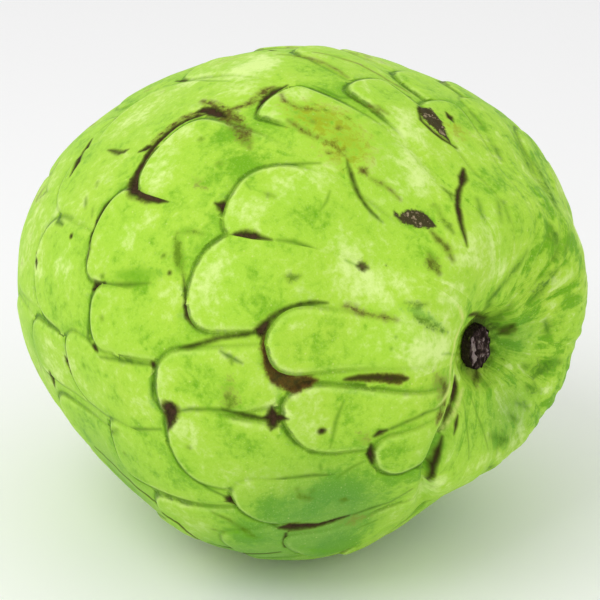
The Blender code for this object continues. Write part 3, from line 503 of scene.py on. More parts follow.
def bodyRadius(angle, turn):
    sine = np.sin(np.radians(angle))
    radius = smoothCurve(angle, body["outlineAngles"], body["outlineRadii"])
    radius = radius - body["flattening"] * sine ** 2 * np.cos(np.radians(2 * turn))
    facing = pointing(angle, turn)
    for atAngle, atTurn, height in body["swellings"]:
        apart = 1 - facing @ pointing(atAngle, atTurn)
        radius = radius + height * np.exp(-2 * apart / math.radians(body["swellingSpread"]) ** 2)
    near = np.exp(-(turnBetween(turn, body["lipTurn"]) / body["lipTurnSpread"]) ** 2)
    for atAngle, height, spread in body["lips"]:
        radius = radius + height * near * np.exp(-((angle - atAngle) / spread) ** 2)
    foldTurn = smoothCurve(angle, body["foldAngles"], body["foldTurns"])
    aside = np.radians(turnBetween(turn, foldTurn)) * radius * sine
    along = np.exp(-((angle - body["foldMiddle"]) / body["foldSpan"]) ** 4)
    return radius - body["foldDepth"] * along * np.exp(-(aside / body["foldHalfWidth"]) ** 2)


def scaleList():   # the scales read off the photo, then rows of them round the rest
    found = [tuple(map(float, scale)) for scale in frontScales.values()]
    draw = np.random.default_rng(scales["seed"])
    for tip, first, last, count in scales["rows"]:
        step = (last - first) / max(count - 1, 1) if count > 1 else 360
        for k in range(count):
            wobble = draw.uniform(-1, 1, 4)
            half = step / 2 * scales["overlap"]
            found.append((
                tip + scales["scatter"] * wobble[0],
                first + k * step + scales["scatter"] * wobble[1], half, half,
                scales["lead"] * (1 + scales["leadScatter"] * wobble[2]),
                scales["lean"] * wobble[3]))
    return found


def scaleHeights(angle, turn, radius):   # every scale's height, its steepness and the height of its top
    full, rounded = scales["height"], scales["roundness"]
    arc = math.radians(1) * radius
    around = arc * np.maximum(np.sin(np.radians(angle)), scales["leastRing"])
    heights, slopes, tops = [], [], []
    for tip, atTurn, low, high, lead, lean in scaleList():
        behind = tip - angle
        aside = turnBetween(turn, atTurn + lean * behind / 10)
        half = np.where(aside < 0, low, high)
        ahead = np.maximum(1 - behind / lead, 0)
        across = np.abs(aside) / half
        reach = np.maximum((ahead ** rounded + across ** rounded) ** (1 / rounded), 1e-3)
        steepAlong = (ahead / reach) ** (rounded - 1) / (lead * arc)
        steepAcross = (across / reach) ** (rounded - 1) / (half * around)
        inside = (1 - reach) / np.maximum(np.hypot(steepAlong, steepAcross), 1e-6)
        x = np.clip(inside / scales["shoulder"], 0, 1)
        top = full * np.exp(-np.maximum(behind * arc, 0) / scales["fade"])
        heights.append(top * (1 - (1 - x) ** 2))
        slopes.append(2 * top * (1 - x) / scales["shoulder"] + scales["leastSlope"])
        tops.append(top)
    flat = np.ones_like(angle)
    heights.append(full * scales["gapHeight"] * flat)
    slopes.append(scales["leastSlope"] * flat)
    tops.append(full * scales["gapHeight"] * flat)
    return np.array(heights), np.array(slopes), np.array(tops)


def topTwo(heights):
    first = heights.argmax(axis=0)
    rest = heights.copy()
    rest[first, np.arange(heights.shape[1])] = -9
    return first, rest.argmax(axis=0)


def topHeight(heights):   # the highest scale's, melted a little into the next one's
    first, second = topTwo(heights)
    here = np.arange(heights.shape[1])
    top = heights[first, here]
    melt = np.maximum(1 - (top - heights[second, here]) / scales["blend"], 0)
    return top + scales["blend"] / 4 * melt ** 2


def calmness(places, angle, radius):   # 0 where the skin is smooth: down the dish's wall, on the seat
    seat = np.array(body["seatFrom"]) / np.linalg.norm(body["seatFrom"])
    apart = np.arccos(np.clip(places @ seat, -1, 1)) * radius
    away = 1 - np.exp(-(apart / body["seatSpread"]) ** 4)
    return smoothStep(angle, *body["bareWall"]) * away, away


def withFloor(angle, radius):   # the level floor of the dish
    cap = np.cos(np.radians(np.minimum(angle, body["floorPlaneLimit"])))
    begin = body["stemFloorAngle"] - body["stemFloorBlend"] / 2
    ramp = smoothStep(angle, begin, body["stemFloorAngle"] + body["stemFloorBlend"])
    return body["stemFloor"] / cap * (1 - ramp) + radius * ramp


def viewAxes():   # the way towards the camera, then the picture's right and up
    a, e = math.radians(photo["azimuth"]), math.radians(photo["elevation"])
    towards = np.array([math.sin(a) * math.cos(e), -math.cos(a) * math.cos(e), math.sin(e)])
    right = np.array([math.cos(a), math.sin(a), 0.0])
    return towards, right, np.cross(towards, right)


def seenPlaces(pixels):   # the angle and turn where the sight line through each pixel meets the skin
    towards, right, up = viewAxes()
    wide = photo["sensor"] / photo["lens"]
    across = (pixels[:, 0] / photo["side"] - 0.5 + photo["shift"][0]) * wide
    upward = (0.5 - pixels[:, 1] / photo["side"] + photo["shift"][1]) * wide
    ways = across[:, None] * right + upward[:, None] * up - towards

    def above(depth, scaled):   # how far over the skin, and the place on the ball
        spots = towards * photo["distance"] + ways * depth[:, None]
        size = np.linalg.norm(spots, axis=1)
        ball = spots / size[:, None]
        angle, turn = angleTurn(ball)
        radius = bodyRadius(angle, turn)
        if scaled:
            raised = topHeight(scaleHeights(angle, turn, radius)[0]) - scales["meanHeight"]
            radius = radius + calmness(ball, angle, radius)[0] * raised
        return size - withFloor(angle, radius), ball

    depth = np.full(len(pixels), photo["distance"] - photo["reach"])
    for back, step, count, scaled in photo["searches"]:
        depths = depth - back + step * np.arange(count)[:, None]
        heights = np.array([above(row, scaled)[0] for row in depths])
        under = heights < 0
        index = np.where(under.any(axis=0), under.argmax(axis=0), heights.argmin(axis=0))
        depth = depths[index, np.arange(len(pixels))]
    return angleTurn(above(depth, False)[1])


def placedMarks():   # the marks' points as angle, turn and half width in mm
    rows = []
    for kind, over, *points in marks:
        points = np.array(points, float)
        if len(points) == 2:
            points = np.insert(points, 1, points.mean(axis=0), axis=0)
        rows.append((kind, over, points))
    pixels = np.concatenate([points for kind, over, points in rows])
    placed = np.column_stack([*seenPlaces(pixels), pixels[:, 2] * photo["pixel"]])
    ends = np.cumsum([len(points) for kind, over, points in rows])
    return [(kind, over, part) for (kind, over, points), part in zip(rows, np.split(placed, ends[:-1]))]


def placedPools():
    rows = np.array(tonePools)
    return np.column_stack([rows[:, 0], *seenPlaces(rows[:, 1:]), rows[:, 3] * photo["pixel"]])


def grownBall(cuts):   # a cube cut into an even grid and blown up to a ball of radius 1
    ball = bmesh.new()
    bmesh.ops.create_cube(ball, size=2)
    bmesh.ops.subdivide_edges(ball, edges=ball.edges[:], cuts=cuts - 1, use_grid_fill=True)
    for vertex in ball.verts:
        for axis in range(3):
            vertex.co[axis] = math.tan(vertex.co[axis] * math.pi / 4)
        vertex.co.normalize()
    ball.verts.index_update()
    return ball


def snapToCreases(places, edges):   # moves points beside a crease between two scales onto it
    angle, turn = angleTurn(places)
    heights, slopes = scaleHeights(angle, turn, bodyRadius(angle, turn))[:2]
    first, second = topTwo(heights)
    every = np.arange(len(places))
    drop = heights[first, every] - heights[second, every]
    gap = drop / (slopes[first, every] + slopes[second, every])
    a, b = edges[:, 0], edges[:, 1]
    crossing = first[a] != first[b]
    a, b = a[crossing], b[crossing]
    chosen = np.unique(np.where(gap[a] < gap[b], a, b))
    here = places[chosen]
    one, two = first[chosen], second[chosen]
    partner = np.full(len(places), -1)
    for i, j in ((a, b), (b, a)):
        partner[i] = first[j]
    mate = partner[chosen]
    two = np.where((mate >= 0) & (mate != one), mate, two)
    up = np.where(np.abs(here[:, 2:]) < 0.8, [[0, 0, 1.0]], [[1.0, 0, 0]])
    east = np.cross(up, here)
    east /= np.linalg.norm(east, axis=1)[:, None]
    north = np.cross(here, east)
    cell = math.pi / 2 / skin["cuts"]
    small = cell * 0.2
    rows = np.arange(len(here))

    def dropAt(at):
        at = at / np.linalg.norm(at, axis=1)[:, None]
        angle, turn = angleTurn(at)
        found = scaleHeights(angle, turn, bodyRadius(angle, turn))[0]
        return found[one, rows] - found[two, rows]

    moved = here.copy()
    for tries in range(2):
        base = dropAt(moved)
        slopeEast = (dropAt(moved + small * east) - base) / small
        slopeNorth = (dropAt(moved + small * north) - base) / small
        push = -base / np.maximum(slopeEast ** 2 + slopeNorth ** 2, 1e-9)
        moved = moved + push[:, None] * (slopeEast[:, None] * east + slopeNorth[:, None] * north)
        away = moved - here
        far = np.linalg.norm(away, axis=1)
        keep = np.minimum(1, skin["snap"] * cell / np.maximum(far, 1e-9))
        moved = here + away * keep[:, None]
    snapped = np.zeros(len(places), bool)
    snapped[chosen[far < skin["snap"] * cell * 1.05]] = True
    result = places.copy()
    result[chosen] = moved / np.linalg.norm(moved, axis=1)[:, None]
    return result, snapped


def skinBall():   # the ball with its points on the creases, every square split along its crease
    ball = grownBall(skin["cuts"])
    places = np.array([vertex.co[:] for vertex in ball.verts])
    edges = np.array([[vertex.index for vertex in edge.verts] for edge in ball.edges])
    places, snapped = snapToCreases(places, edges)
    for vertex, place in zip(ball.verts, places):
        vertex.co = place
    for face in ball.faces[:]:
        a, b, c, d = face.verts
        one = int(snapped[a.index]) + int(snapped[c.index])
        other = int(snapped[b.index]) + int(snapped[d.index])
        if one == other:
            one, other = (b.co - d.co).length, (a.co - c.co).length
        pair = (a, c) if one > other else (b, d)
        bmesh.utils.face_split(face, *pair)
    print("skin:", len(ball.faces), "triangles,", int(snapped.sum()), "points laid on creases")
    return ball, places


def creaseLines(spots, corners, heights, slopes, tops):
    # where two scales meet inside the triangles: points, both scales, steepness, depth
    winner, rival = topTwo(heights[:, corners].mean(axis=2))
    drop = heights[winner[:, None], corners] - heights[rival[:, None], corners]
    crossed = np.nonzero((drop.min(axis=1) <= 0) & (drop.max(axis=1) > 0))[0]
    found, weights = [], []
    for i, j in ((0, 1), (1, 2), (2, 0)):
        di, dj = drop[crossed, i], drop[crossed, j]
        across = (di * dj <= 0) & (di != dj)
        share = np.where(across, di / np.where(across, di - dj, 1), 0)
        weight = np.zeros((len(crossed), 3))
        weight[:, i], weight[:, j] = 1 - share, share
        found.append(across)
        weights.append(weight)
    found, weights = np.array(found), np.array(weights)
    two = found.sum(axis=0) >= 2
    begin = found.argmax(axis=0)
    end = 2 - found[::-1].argmax(axis=0)
    rows = np.arange(len(crossed))
    a, b = weights[begin, rows][two], weights[end, rows][two]
    crossed = crossed[two]
    at, w, r = corners[crossed], winner[crossed], rival[crossed]
    spot, pair, steep, deep = [], [], [], []
    for share in (0.0, 0.25, 0.5, 0.75, 1.0):
        weight = a * (1 - share) + b * share

        def value(field, who):
            return (field[who[:, None], at] * weight).sum(axis=1)

        spot.append((spots[at] * weight[:, :, None]).sum(axis=1))
        pair.append(np.stack([w, r], 1))
        ws, rs = value(slopes, w), value(slopes, r)
        steep.append((ws - rs) / (ws + rs))
        deep.append(np.maximum(value(tops, w), value(tops, r)) - value(heights, w))
    return tuple(np.concatenate(part) for part in (spot, pair, steep, deep))


def creaseFields(spots, corners, first, winner, lines):
    # for every corner: distance to the nearest crease, side of it, its depth, its two scales
    spot, pair, steep, deep = lines
    tree = kdtree.KDTree(len(spot))
    for k, place in enumerate(spot):
        tree.insert(place, k)
    tree.balance()
    nearest = np.array([tree.find(place)[1:] for place in spots])
    index, apart = nearest[:, 0].astype(int), np.minimum(nearest[:, 1], skin["reach"])
    pairs = pair[index][corners]
    ownSide = np.where(pairs[:, :, 0] == winner[:, None], 1.0, 0.0)
    ownSide = np.where(pairs[:, :, 1] == winner[:, None], -1.0, ownSide)
    side = ownSide * steep[index][corners]
    distance = apart[corners]
    signed = np.where(first[corners] == winner[:, None], distance, -distance)
    return signed, side, deep[index][corners], pairs


def besideStroke(line, widths, spots, outward):
    # for every spot: how deep it lies in the stroke, then its way across, past the end, the half width
    best = np.full(len(spots), -99.0)
    found = np.zeros((3, len(spots)))
    for k in range(len(line) - 1):
        a, b = line[k], line[k + 1]
        length = np.linalg.norm(b - a)
        along = (b - a) / length if length > skin["leastLength"] else np.array([0, 0, 1.0])
        length = max(length, skin["leastLength"])
        side = np.cross(along, outward)
        side /= np.maximum(np.linalg.norm(side, axis=1), 1e-6)[:, None]
        forward = (spots - a) @ along
        inside = np.clip(forward, 0, length)
        aside = ((spots - (a + inside[:, None] * along)) * side).sum(axis=1)
        past = forward - inside
        width = widths[k] + (widths[k + 1] - widths[k]) * inside / length
        value = width - np.hypot(aside, past)
        better = value > best
        best = np.where(better, value, best)
        found = np.where(better, (aside, past, width), found)
    return best, found


def strokeLayer(strokes, spots, outward, corners, first, distance, pairs):
    far, reach = -9.0, skin["reach"]
    best = np.full(len(corners), far)
    nearest = np.full(len(spots), far)
    owner = np.full(len(spots), -1)
    starts = {"Across": -far, "Beyond": 0.0, "Half": 0.0, "Clip": reach, "Inside": far}
    fields = {name: np.full(corners.shape, start) for name, start in starts.items()}
    names = list(frontScales)
    for number, (word, over, points) in enumerate(strokes):
        widths = points[:, 2].copy()
        widths[[0, -1]] *= skin["taper"]
        line = pointing(points[:, 0], points[:, 1])
        line *= bodyRadius(points[:, 0], points[:, 1])[:, None]
        middle = (line.min(axis=0) + line.max(axis=0)) / 2
        bound = np.linalg.norm(line - middle, axis=1).max() + widths.max() + reach + 1
        near = np.nonzero(((spots - middle) ** 2).sum(axis=1) < bound ** 2)[0]
        if not len(near):
            continue
        full = np.full(len(spots), far)
        full[near], found = besideStroke(line, widths, spots[near], outward[near])
        owns = full > nearest
        nearest[owns], owner[owns] = full[owns], number
        touched = np.nonzero((full[corners] > -reach).any(axis=1))[0]
        value = full[corners[touched]]
        edge = np.full(value.shape, reach)
        if over:
            mask = names.index(over)
            touching = (pairs[touched] == mask).any(axis=2)
            within = first[corners[touched]] == mask
            gap = np.abs(distance[touched])
            edge = np.where(within, -gap, np.where(touching, gap, reach))
        clipped = np.minimum(value, edge * 3 - markLooks[word][lookColumns["Soft"]])
        fields["Inside"][touched] = np.maximum(fields["Inside"][touched], clipped)
        mean = value.mean(axis=1)
        wins = mean > best[touched]
        rows = touched[wins]
        best[rows] = mean[wins]
        fields["Clip"][rows] = edge[wins]
        for name, here in zip(("Across", "Beyond", "Half"), found):
            whole = np.zeros(len(spots))
            whole[near] = here
            fields[name][rows] = whole[corners[rows]]
    return fields, owner


def softField(rows, spots):   # gaussian pools: strength, angle, turn, radius
    total = np.zeros(len(spots))
    for strength, atAngle, atTurn, spread in rows:
        place = pointing(atAngle, atTurn) * bodyRadius(np.array([atAngle]), np.array([atTurn]))
        apart = ((spots - place.reshape(3)) ** 2).sum(axis=1)
        total += strength * np.exp(-apart / (spread * skin["poolShare"]) ** 2)
    return total


def roughField(places, size, seed):
    shift = Vector((seed * 17.3, seed * 5.1, seed * 9.7))
    return np.array([noise.noise(Vector(p) / size + shift) for p in places])


def wrinkles(angle, turn):   # creased lines that fan out from the dish, and where they show
    firstTurn, lastTurn = skin["wrinkleTurns"]
    fadeIn, fadeOut = skin["wrinkleFade"]
    band = smoothStep(turn, firstTurn, firstTurn + fadeIn) * (
        1 - smoothStep(turn, lastTurn - fadeIn, lastTurn + fadeOut))
    low, rising, falling, high = skin["wrinkleAngles"]
    flank = band * smoothStep(angle, low, rising) * (1 - smoothStep(angle, falling, high))
    ring = np.stack([np.cos(np.radians(turn)), np.sin(np.radians(turn)), np.zeros_like(turn)], 1)
    fan = ring * skin["wrinkleCount"] / 6
    fan[:, 2] = angle / 16
    creased = roughField(fan * 10, 10.0, 3) + 0.5 * roughField(fan * 21, 10.0, 4)
    return band, flank * np.minimum(creased, skin["wrinkleTop"])


def newPiece(shape, name, material, carrier):
    data = bpy.data.meshes.new(name)
    shape.to_mesh(data)
    shape.free()
    data.materials.append(material)
    data.shade_smooth()
    piece = bpy.data.objects.new(name, data)
    bpy.context.scene.collection.objects.link(piece)
    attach(piece, carrier)
    return piece


def keepField(data, name, values, place):
    layer = data.attributes.new(name, "FLOAT", place)
    layer.data.foreach_set("value", np.ascontiguousarray(values, np.float32).ravel())


class Wire:   # a value on its way through a material's nodes
    def __init__(self, tree, socket):
        self.tree, self.socket = tree, socket

    def node(self, kind, settings=None, sockets=None, out=0):
        made = self.tree.nodes.new(kind)
        for name, value in (settings or {}).items():
            setattr(made, name, value)
        for key, value in (sockets or {}).items():
            if isinstance(value, Wire):
                self.tree.links.new(value.socket, made.inputs[key])
            elif value is not None:
                made.inputs[key].default_value = value
        return Wire(self.tree, made.outputs[out])

    def math(self, operation, a, b=None):
        return self.node("ShaderNodeMath", {"operation": operation}, {0: a, 1: b})

    def __add__(self, other): return self.math("ADD", self, other)
    def __radd__(self, other): return self.math("ADD", other, self)
    def __sub__(self, other): return self.math("SUBTRACT", self, other)
    def __rsub__(self, other): return self.math("SUBTRACT", other, self)
    def __mul__(self, other): return self.math("MULTIPLY", self, other)
    def __rmul__(self, other): return self.math("MULTIPLY", other, self)
    def __truediv__(self, other): return self.math("DIVIDE", self, other)
    def __rtruediv__(self, other): return self.math("DIVIDE", other, self)
    def __neg__(self): return self.math("MULTIPLY", self, -1.0)
    def least(self, other): return self.math("MINIMUM", self, other)
    def most(self, other): return self.math("MAXIMUM", self, other)
    def size(self): return self.math("ABSOLUTE", self)
    def root(self): return self.math("SQRT", self)

    def soft(self, low, high, start=0.0, end=1.0):   # a smooth step
        return self.node("ShaderNodeMapRange", {"interpolation_type": "SMOOTHSTEP"}, {
            "Value": self, "From Min": low, "From Max": high, "To Min": start, "To Max": end})

    def bell(self, middle, width):
        return 1 - ((self - middle).size() * (1 / width)).soft(0, 1)

    def field(self, name):
        return self.node("ShaderNodeAttribute", {"attribute_name": name}, out="Fac")

    def other(self, name):   # another output of the same node
        return Wire(self.tree, self.socket.node.outputs[name])

    def grain(self, scale, detail=2.0, rough=0.5, twist=0.0):   # noise from about -0.5 to 0.5
        return self.node("ShaderNodeTexNoise", {"noise_dimensions": "3D"}, {
            "Vector": self, "Scale": scale, "Detail": detail, "Roughness": rough,
            "Distortion": twist}) - 0.5

    def cells(self, scale):   # distance from scattered points
        return self.node("ShaderNodeTexVoronoi", {"feature": "F1"}, {
            "Vector": self, "Scale": scale}, out="Distance")

    def mix(self, share, one, two):   # from one colour to the other
        one, two = (end if isinstance(end, Wire) else (*end, 1) for end in (one, two))
        return self.node("ShaderNodeMix", {"data_type": "RGBA"}, {0: share, 6: one, 7: two}, out=2)

    def tint(self, share, colour):   # this colour, with another laid over it
        return self.mix(share, self, colour)


def newMaterial(name):
    material = bpy.data.materials.new(name)
    material.use_nodes = True
    shader = material.node_tree.nodes["Principled BSDF"]
    return material, shader, Wire(material.node_tree, None)


def millimetres(wire):
    return wire.node("ShaderNodeVectorMath", {"operation": "SCALE"}, {
        0: wire.node("ShaderNodeTexCoord", out="Object"), "Scale": 1 / mm})


def feed(shader, name, wire):
    wire.tree.links.new(wire.socket, shader.inputs[name])


def feedBump(shader, height):
    bump = height.node("ShaderNodeBump", None, {"Height": height, "Strength": 1.0, "Distance": mm})
    feed(shader, "Normal", bump)


# The skin: its relief, then the fields that its colours follow
def makeSkin(material, carrier):
    ball, places = skinBall()
    piece = newPiece(ball, "skin", material, carrier)
    data = piece.data
    corners = np.empty(len(data.loops), np.int32)
    data.loops.foreach_get("vertex_index", corners)
    corners = corners.reshape(-1, 3)

    angle, turn = angleTurn(places)
    radius = bodyRadius(angle, turn)
    spots = places * radius[:, None]
    heights, slopes, tops = scaleHeights(angle, turn, radius)
    first = topTwo(heights)[0]
    calm, away = calmness(places, angle, radius)
    winner = topTwo(heights[:, corners].mean(axis=2))[0]
    lines = creaseLines(spots, corners, heights, slopes, tops)
    distance, side, deep, pairs = creaseFields(spots, corners, first, winner, lines)
    quiet = np.clip(1 - softField(quietPools, spots), 0, 1)
    deep = deep / scales["height"] * (calm * quiet)[corners]
    tips = np.array([scale[0] for scale in scaleList()] + [0])
    behind = (tips[winner][:, None] - angle[corners]) * math.radians(1) * radius[corners]
    tipward = np.exp(-(np.maximum(behind, 0) / skin["tipReach"]) ** 2) * (tips[winner] > 0)[:, None]
    print("creases:", len(lines[0]), "points")

    placed = placedMarks()
    dip = np.zeros(len(places))
    for word, kinds in markLayers.items():
        strokes = [row for row in placed if row[0] in kinds]
        fields, owner = strokeLayer(strokes, spots, places, corners, first, distance, pairs)
        looks = np.array([markLooks[row[0]] for row in strokes] + [noLook])[owner]
        peak = np.full(len(places), -9.0)
        np.maximum.at(peak, corners.ravel(), fields["Inside"].ravel())
        amount = looks[:, lookColumns["Dip"]] * smoothStep(peak, *skin["dipFrom"])
        dip = np.where(np.abs(amount) > np.abs(dip), amount, dip)
        for name, values in fields.items():
            keepField(data, word + name, values, "CORNER")
        for name in ("Soft", "Ragged", "Core", "Mottled"):
            keepField(data, word + name, looks[:, lookColumns[name]], "POINT")
        colour = data.color_attributes.new(word + "Colour", "FLOAT_COLOR", "POINT")
        colour.data.foreach_set("color", looks[:, :4].astype(np.float32).ravel())
        print(word, "marks:", len(strokes), "strokes")

    size, fineShare, fineSize = skin["swellSize"], skin["fineSwell"], skin["fineSwellSize"]
    swell = roughField(spots, size, 1) + fineShare * roughField(spots, size / fineSize, 2)
    band, creased = wrinkles(angle, turn)
    radius = radius + calm * (topHeight(heights) - scales["meanHeight"]) + calm * skin["swell"] * swell
    radius = radius + skin["wrinkle"] * away * creased + away * dip
    final = places * withFloor(angle, radius)[:, None] + np.array(body["core"])
    final[:, 2] = np.maximum(final[:, 2], 0)
    data.vertices.foreach_set("co", np.ascontiguousarray(final * mm, np.float32).ravel())

    draw = np.random.default_rng(skin["toneSeed"])
    toneOf = np.concatenate([draw.uniform(-1, 1, len(heights) - 1), [skin["gapTone"]]])
    toneOf[:len(frontScales)] *= skin["readTone"]
    for name, values in (("gap", distance), ("side", side), ("tipward", tipward), ("deep", deep),
                         ("ownTone", np.repeat(toneOf[winner], 3))):
        keepField(data, name, values, "CORNER")
    low, rising, falling, high = skin["flankAngles"]
    flank = band * smoothStep(angle, low, rising) * (1 - smoothStep(angle, falling, high))
    unseen = 1 - smoothStep(places @ viewAxes()[0], *skin["unseenFrom"])
    for name, values in (("wild", unseen), ("tone", softField(placedPools(), spots)),
                         ("cool", softField(coolShadePools, spots)), ("flank", flank)):
        keepField(data, name, values, "POINT")
    data.update()
    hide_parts("fruit")
    return piece


def skinMaterial():
    material, shader, wire = newMaterial("skin")
    look = skinLook
    place = millimetres(wire)
    wobble, fine, broad, mottle, patchy = (place.grain(*skinGrains[name]) for name in (
        "wobble", "fine", "broad", "mottle", "patchy"))

    # lines that fan out from the dish
    centred = place.node("ShaderNodeVectorMath", {"operation": "SUBTRACT"}, {0: place, 1: body["core"]})
    x = centred.node("ShaderNodeSeparateXYZ", sockets={0: centred}, out="X")
    y, z = x.other("Y"), x.other("Z")
    ringSize = (y * y + z * z + 0.01).root()
    fanOut = place.math("ARCTAN2", ringSize, x)

    def fan(around, along, *grain):
        vector = place.node("ShaderNodeCombineXYZ", sockets={
            "X": y / ringSize * around, "Y": z / ringSize * around, "Z": fanOut * along})
        return vector.grain(1.0, *grain)

    flank = wire.field("flank")
    streak, fineStreak = fan(*skinGrains["streak"]), fan(*skinGrains["fineStreak"])
    drawn = streak * look["streak"] + fineStreak * look["fineStreak"]

    gap, side, deep = wire.field("gap").size(), wire.field("side"), wire.field("deep")
    # tone: differs over the skin, partly painted shade low down and painted highlights towards the top left
    tone = wire.field("tone") + wire.field("ownTone") * look["scaleTone"]
    tone = tone + mottle * look["mottle"] + broad * look["broad"] + wobble * look["speckle"]
    # tipward: a painted highlight near each scale's tip
    tone = tone + wire.field("tipward") * look["tipward"] - look["darker"]
    tone = tone + flank * (drawn.least(0.0) + drawn.most(0.0) * look["paleStreak"])
    yellow = (broad * look["yellowBroad"] + mottle * look["yellowMottle"] + look["yellowFrom"]).soft(
        0.1, 0.9, 0.0, look["yellowShare"])
    colour = wire.mix(yellow, look["mid"], look["yellow"])
    colour = colour.tint(tone.soft(*look["toneSpan"]), look["pale"])
    colour = colour.tint((-tone).soft(*look["toneSpan"]), look["deep"])
    # painted shade: the colder green low down and in the dish
    colour = colour.tint(wire.field("cool").soft(0, 1) * look["coolShare"], look["cool"])

    # a painted highlight as a pale rim along each scale's edge, painted shade in a strip beside it
    edge = deep.soft(*look["edgeDepth"])
    rim = gap.bell(look["rimAt"], look["rimWidth"]) * edge * side.soft(*look["rimSide"])
    colour = colour.tint((rim * look["rim"] * (1 + mottle * look["rimMottle"])).most(0.0), look["pale"])
    under = (look["underWidth"] * (1 + mottle * look["underMottle"]) - gap).soft(0, look["underWidth"])
    under = under * edge * (look["underFrom"] - side).soft(*look["underSide"])
    colour = colour.tint(under * look["under"], look["deep"])

    # blots, then the seam, a line of painted shade along each crease with brown knots in it, then specks,
    # where the photo doesn't show the skin
    wild = wire.field("wild")
    blot = (broad + patchy * look["blotPatchy"] + mottle * look["blotMottle"]).soft(*look["blotFrom"])
    blot = blot * wild * look["blot"] * (1 + mottle * look["rimMottle"]).most(0.0).least(1.0)
    colour = colour.tint(blot, look["blotColour"])
    knot = (patchy + wobble * look["knotWobble"]).soft(*look["knotFrom"]) * wild
    ragged = 1 + (wobble + mottle) * look["seamRagged"] + knot * look["knot"]
    seamWidth = look["seam"] * ragged * edge.soft(0, 1, 0.5, 1.0)
    seam = (seamWidth - gap).soft(*look["seamSoft"]) * deep.soft(*look["seamDepth"])
    seamPaint = wire.mix(knot, look["seamColour"], look["knotColour"])
    colour = colour.tint(seam * look["seamShare"] * (0.9 + mottle * 2).least(1.0), seamPaint)
    speck = (look["speckSize"] + wobble * look["speckWobble"] - place.cells(look["speckScale"]))
    speck = speck.soft(*look["speckSoft"]) * patchy.soft(*look["speckFrom"]) * wild
    colour = colour.tint(speck * look["speck"], look["speckColour"])

    # pale dots and a fine grain all over, and the dark shade round the stub
    dot = (look["dotSize"] - place.cells(look["dotScale"])).soft(0.0, look["dotSoft"])
    dot = dot * (place.grain(*skinGrains["dots"]) + look["dotFrom"]).soft(0.2, 0.8)
    colour = colour.tint(dot * look["dot"], look["dotColour"])
    colour = colour.tint(fine.soft(*look["grainFrom"]) * look["grain"], look["pale"])
    colour = colour.tint((-fine).soft(*look["grainFrom"]) * look["grain"], look["deep"])
    aside = (y - look["stubShadeAside"]) * (1 / look["stubShadeOval"])
    fromStub = (aside * aside + z * z).root() + streak * 3.0 + wobble * 2.5 + mottle * 2.0
    inner, outer = (stub["radius"] * share for share in look["stubShadeReach"])
    shade = (1 - fromStub.soft(inner, outer)) * x.soft(*look["stubShadeFrom"])
    colour = colour.tint(shade * look["stubShade"], look["stubShadeColour"])

    masks = {}
    for word in markLayers:
        colour, masks[word] = paintMarks(word, colour, wobble, fine, mottle)
    feed(shader, "Base Color", colour)

    rough = look["rough"] + mottle * 0.12 + fine * 0.1 + masks["patch"] * 0.15 + masks["gap"] * 0.3
    feed(shader, "Roughness", rough)
    height = fine * look["fineBump"] + wobble * look["wobbleBump"] + mottle * look["mottleBump"]
    height = height - seam * look["seamBump"] - masks["gap"] * look["gapBump"] + dot * look["dotBump"]
    height = height + flank * (fineStreak * look["fineStreakBump"] + streak * look["streakBump"])
    height = height + masks["patch"] * fine * look["patchBump"]
    feedBump(shader, height)
    shader.inputs["Specular IOR Level"].default_value = look["specular"]
    return material


def paintMarks(word, colour, wobble, fine, mottle):   # lays one layer of marks over the colour
    look = skinLook
    inside, soft, half, ragged, mottled = (colour.field(word + name) for name in (
        "Inside", "Soft", "Half", "Ragged", "Mottled"))
    if word != "blur":
        across, beyond, clip = (colour.field(word + name) for name in ("Across", "Beyond", "Clip"))
        depth = half - (across * across + beyond * beyond).root()
        inside = depth.least(clip * 8 - soft).most(inside)
        ragged = ragged * (half * look["raggedShare"]).least(look["raggedMost"])
    inside = inside + ragged * (wobble * 4.5 + fine * 2.0 + mottle * 2.0)
    paint = colour.node("ShaderNodeAttribute", {"attribute_name": word + "Colour"}, out="Color")
    strength = paint.other("Alpha")
    share = ((inside + soft) * (0.5 / soft)).soft(0, 1) * strength
    uneven = mottle * look["markMottle"] + wobble * look["markSpeckle"] + fine * look["markGrain"]
    share = share * (1.0 + mottled * (uneven - 0.15)).most(0.0).least(1.15)
    if word == "patch":   # a darker middle, or dark edges and pale spots inside
        core = colour.field(word + "Core")
        middle = (-core).most(0.0) * inside.soft(0.1, 0.8) * (0.7 + wobble * 3)
        paint = paint.tint(middle, look["coreColour"])
        spots = (wobble * 1.4 + fine * 0.7 + mottle * 0.5).soft(0.10, 0.24) * inside.soft(0.25, 0.7)
        paint = paint.tint(core.most(0.0) * spots * 0.8, look["spotColour"])
    if word == "gap":   # the dark fades out through olive, and is redder in places
        fringe = (inside + half * 0.6 + 0.35).soft(0.0, 1.0) * strength
        colour = colour.tint(fringe * look["fringe"] * (1 + mottle * 2), look["fringeColour"])
        middle = inside.soft(0.1, 0.6) * (fine * 2 + wobble * 3 + 0.7).soft(0.0, 1.0)
        paint = paint.tint(middle * 0.7, look["gapBrown"])
    mask = share.most(0.0).least(1.0)
    return colour.tint(mask, paint), mask


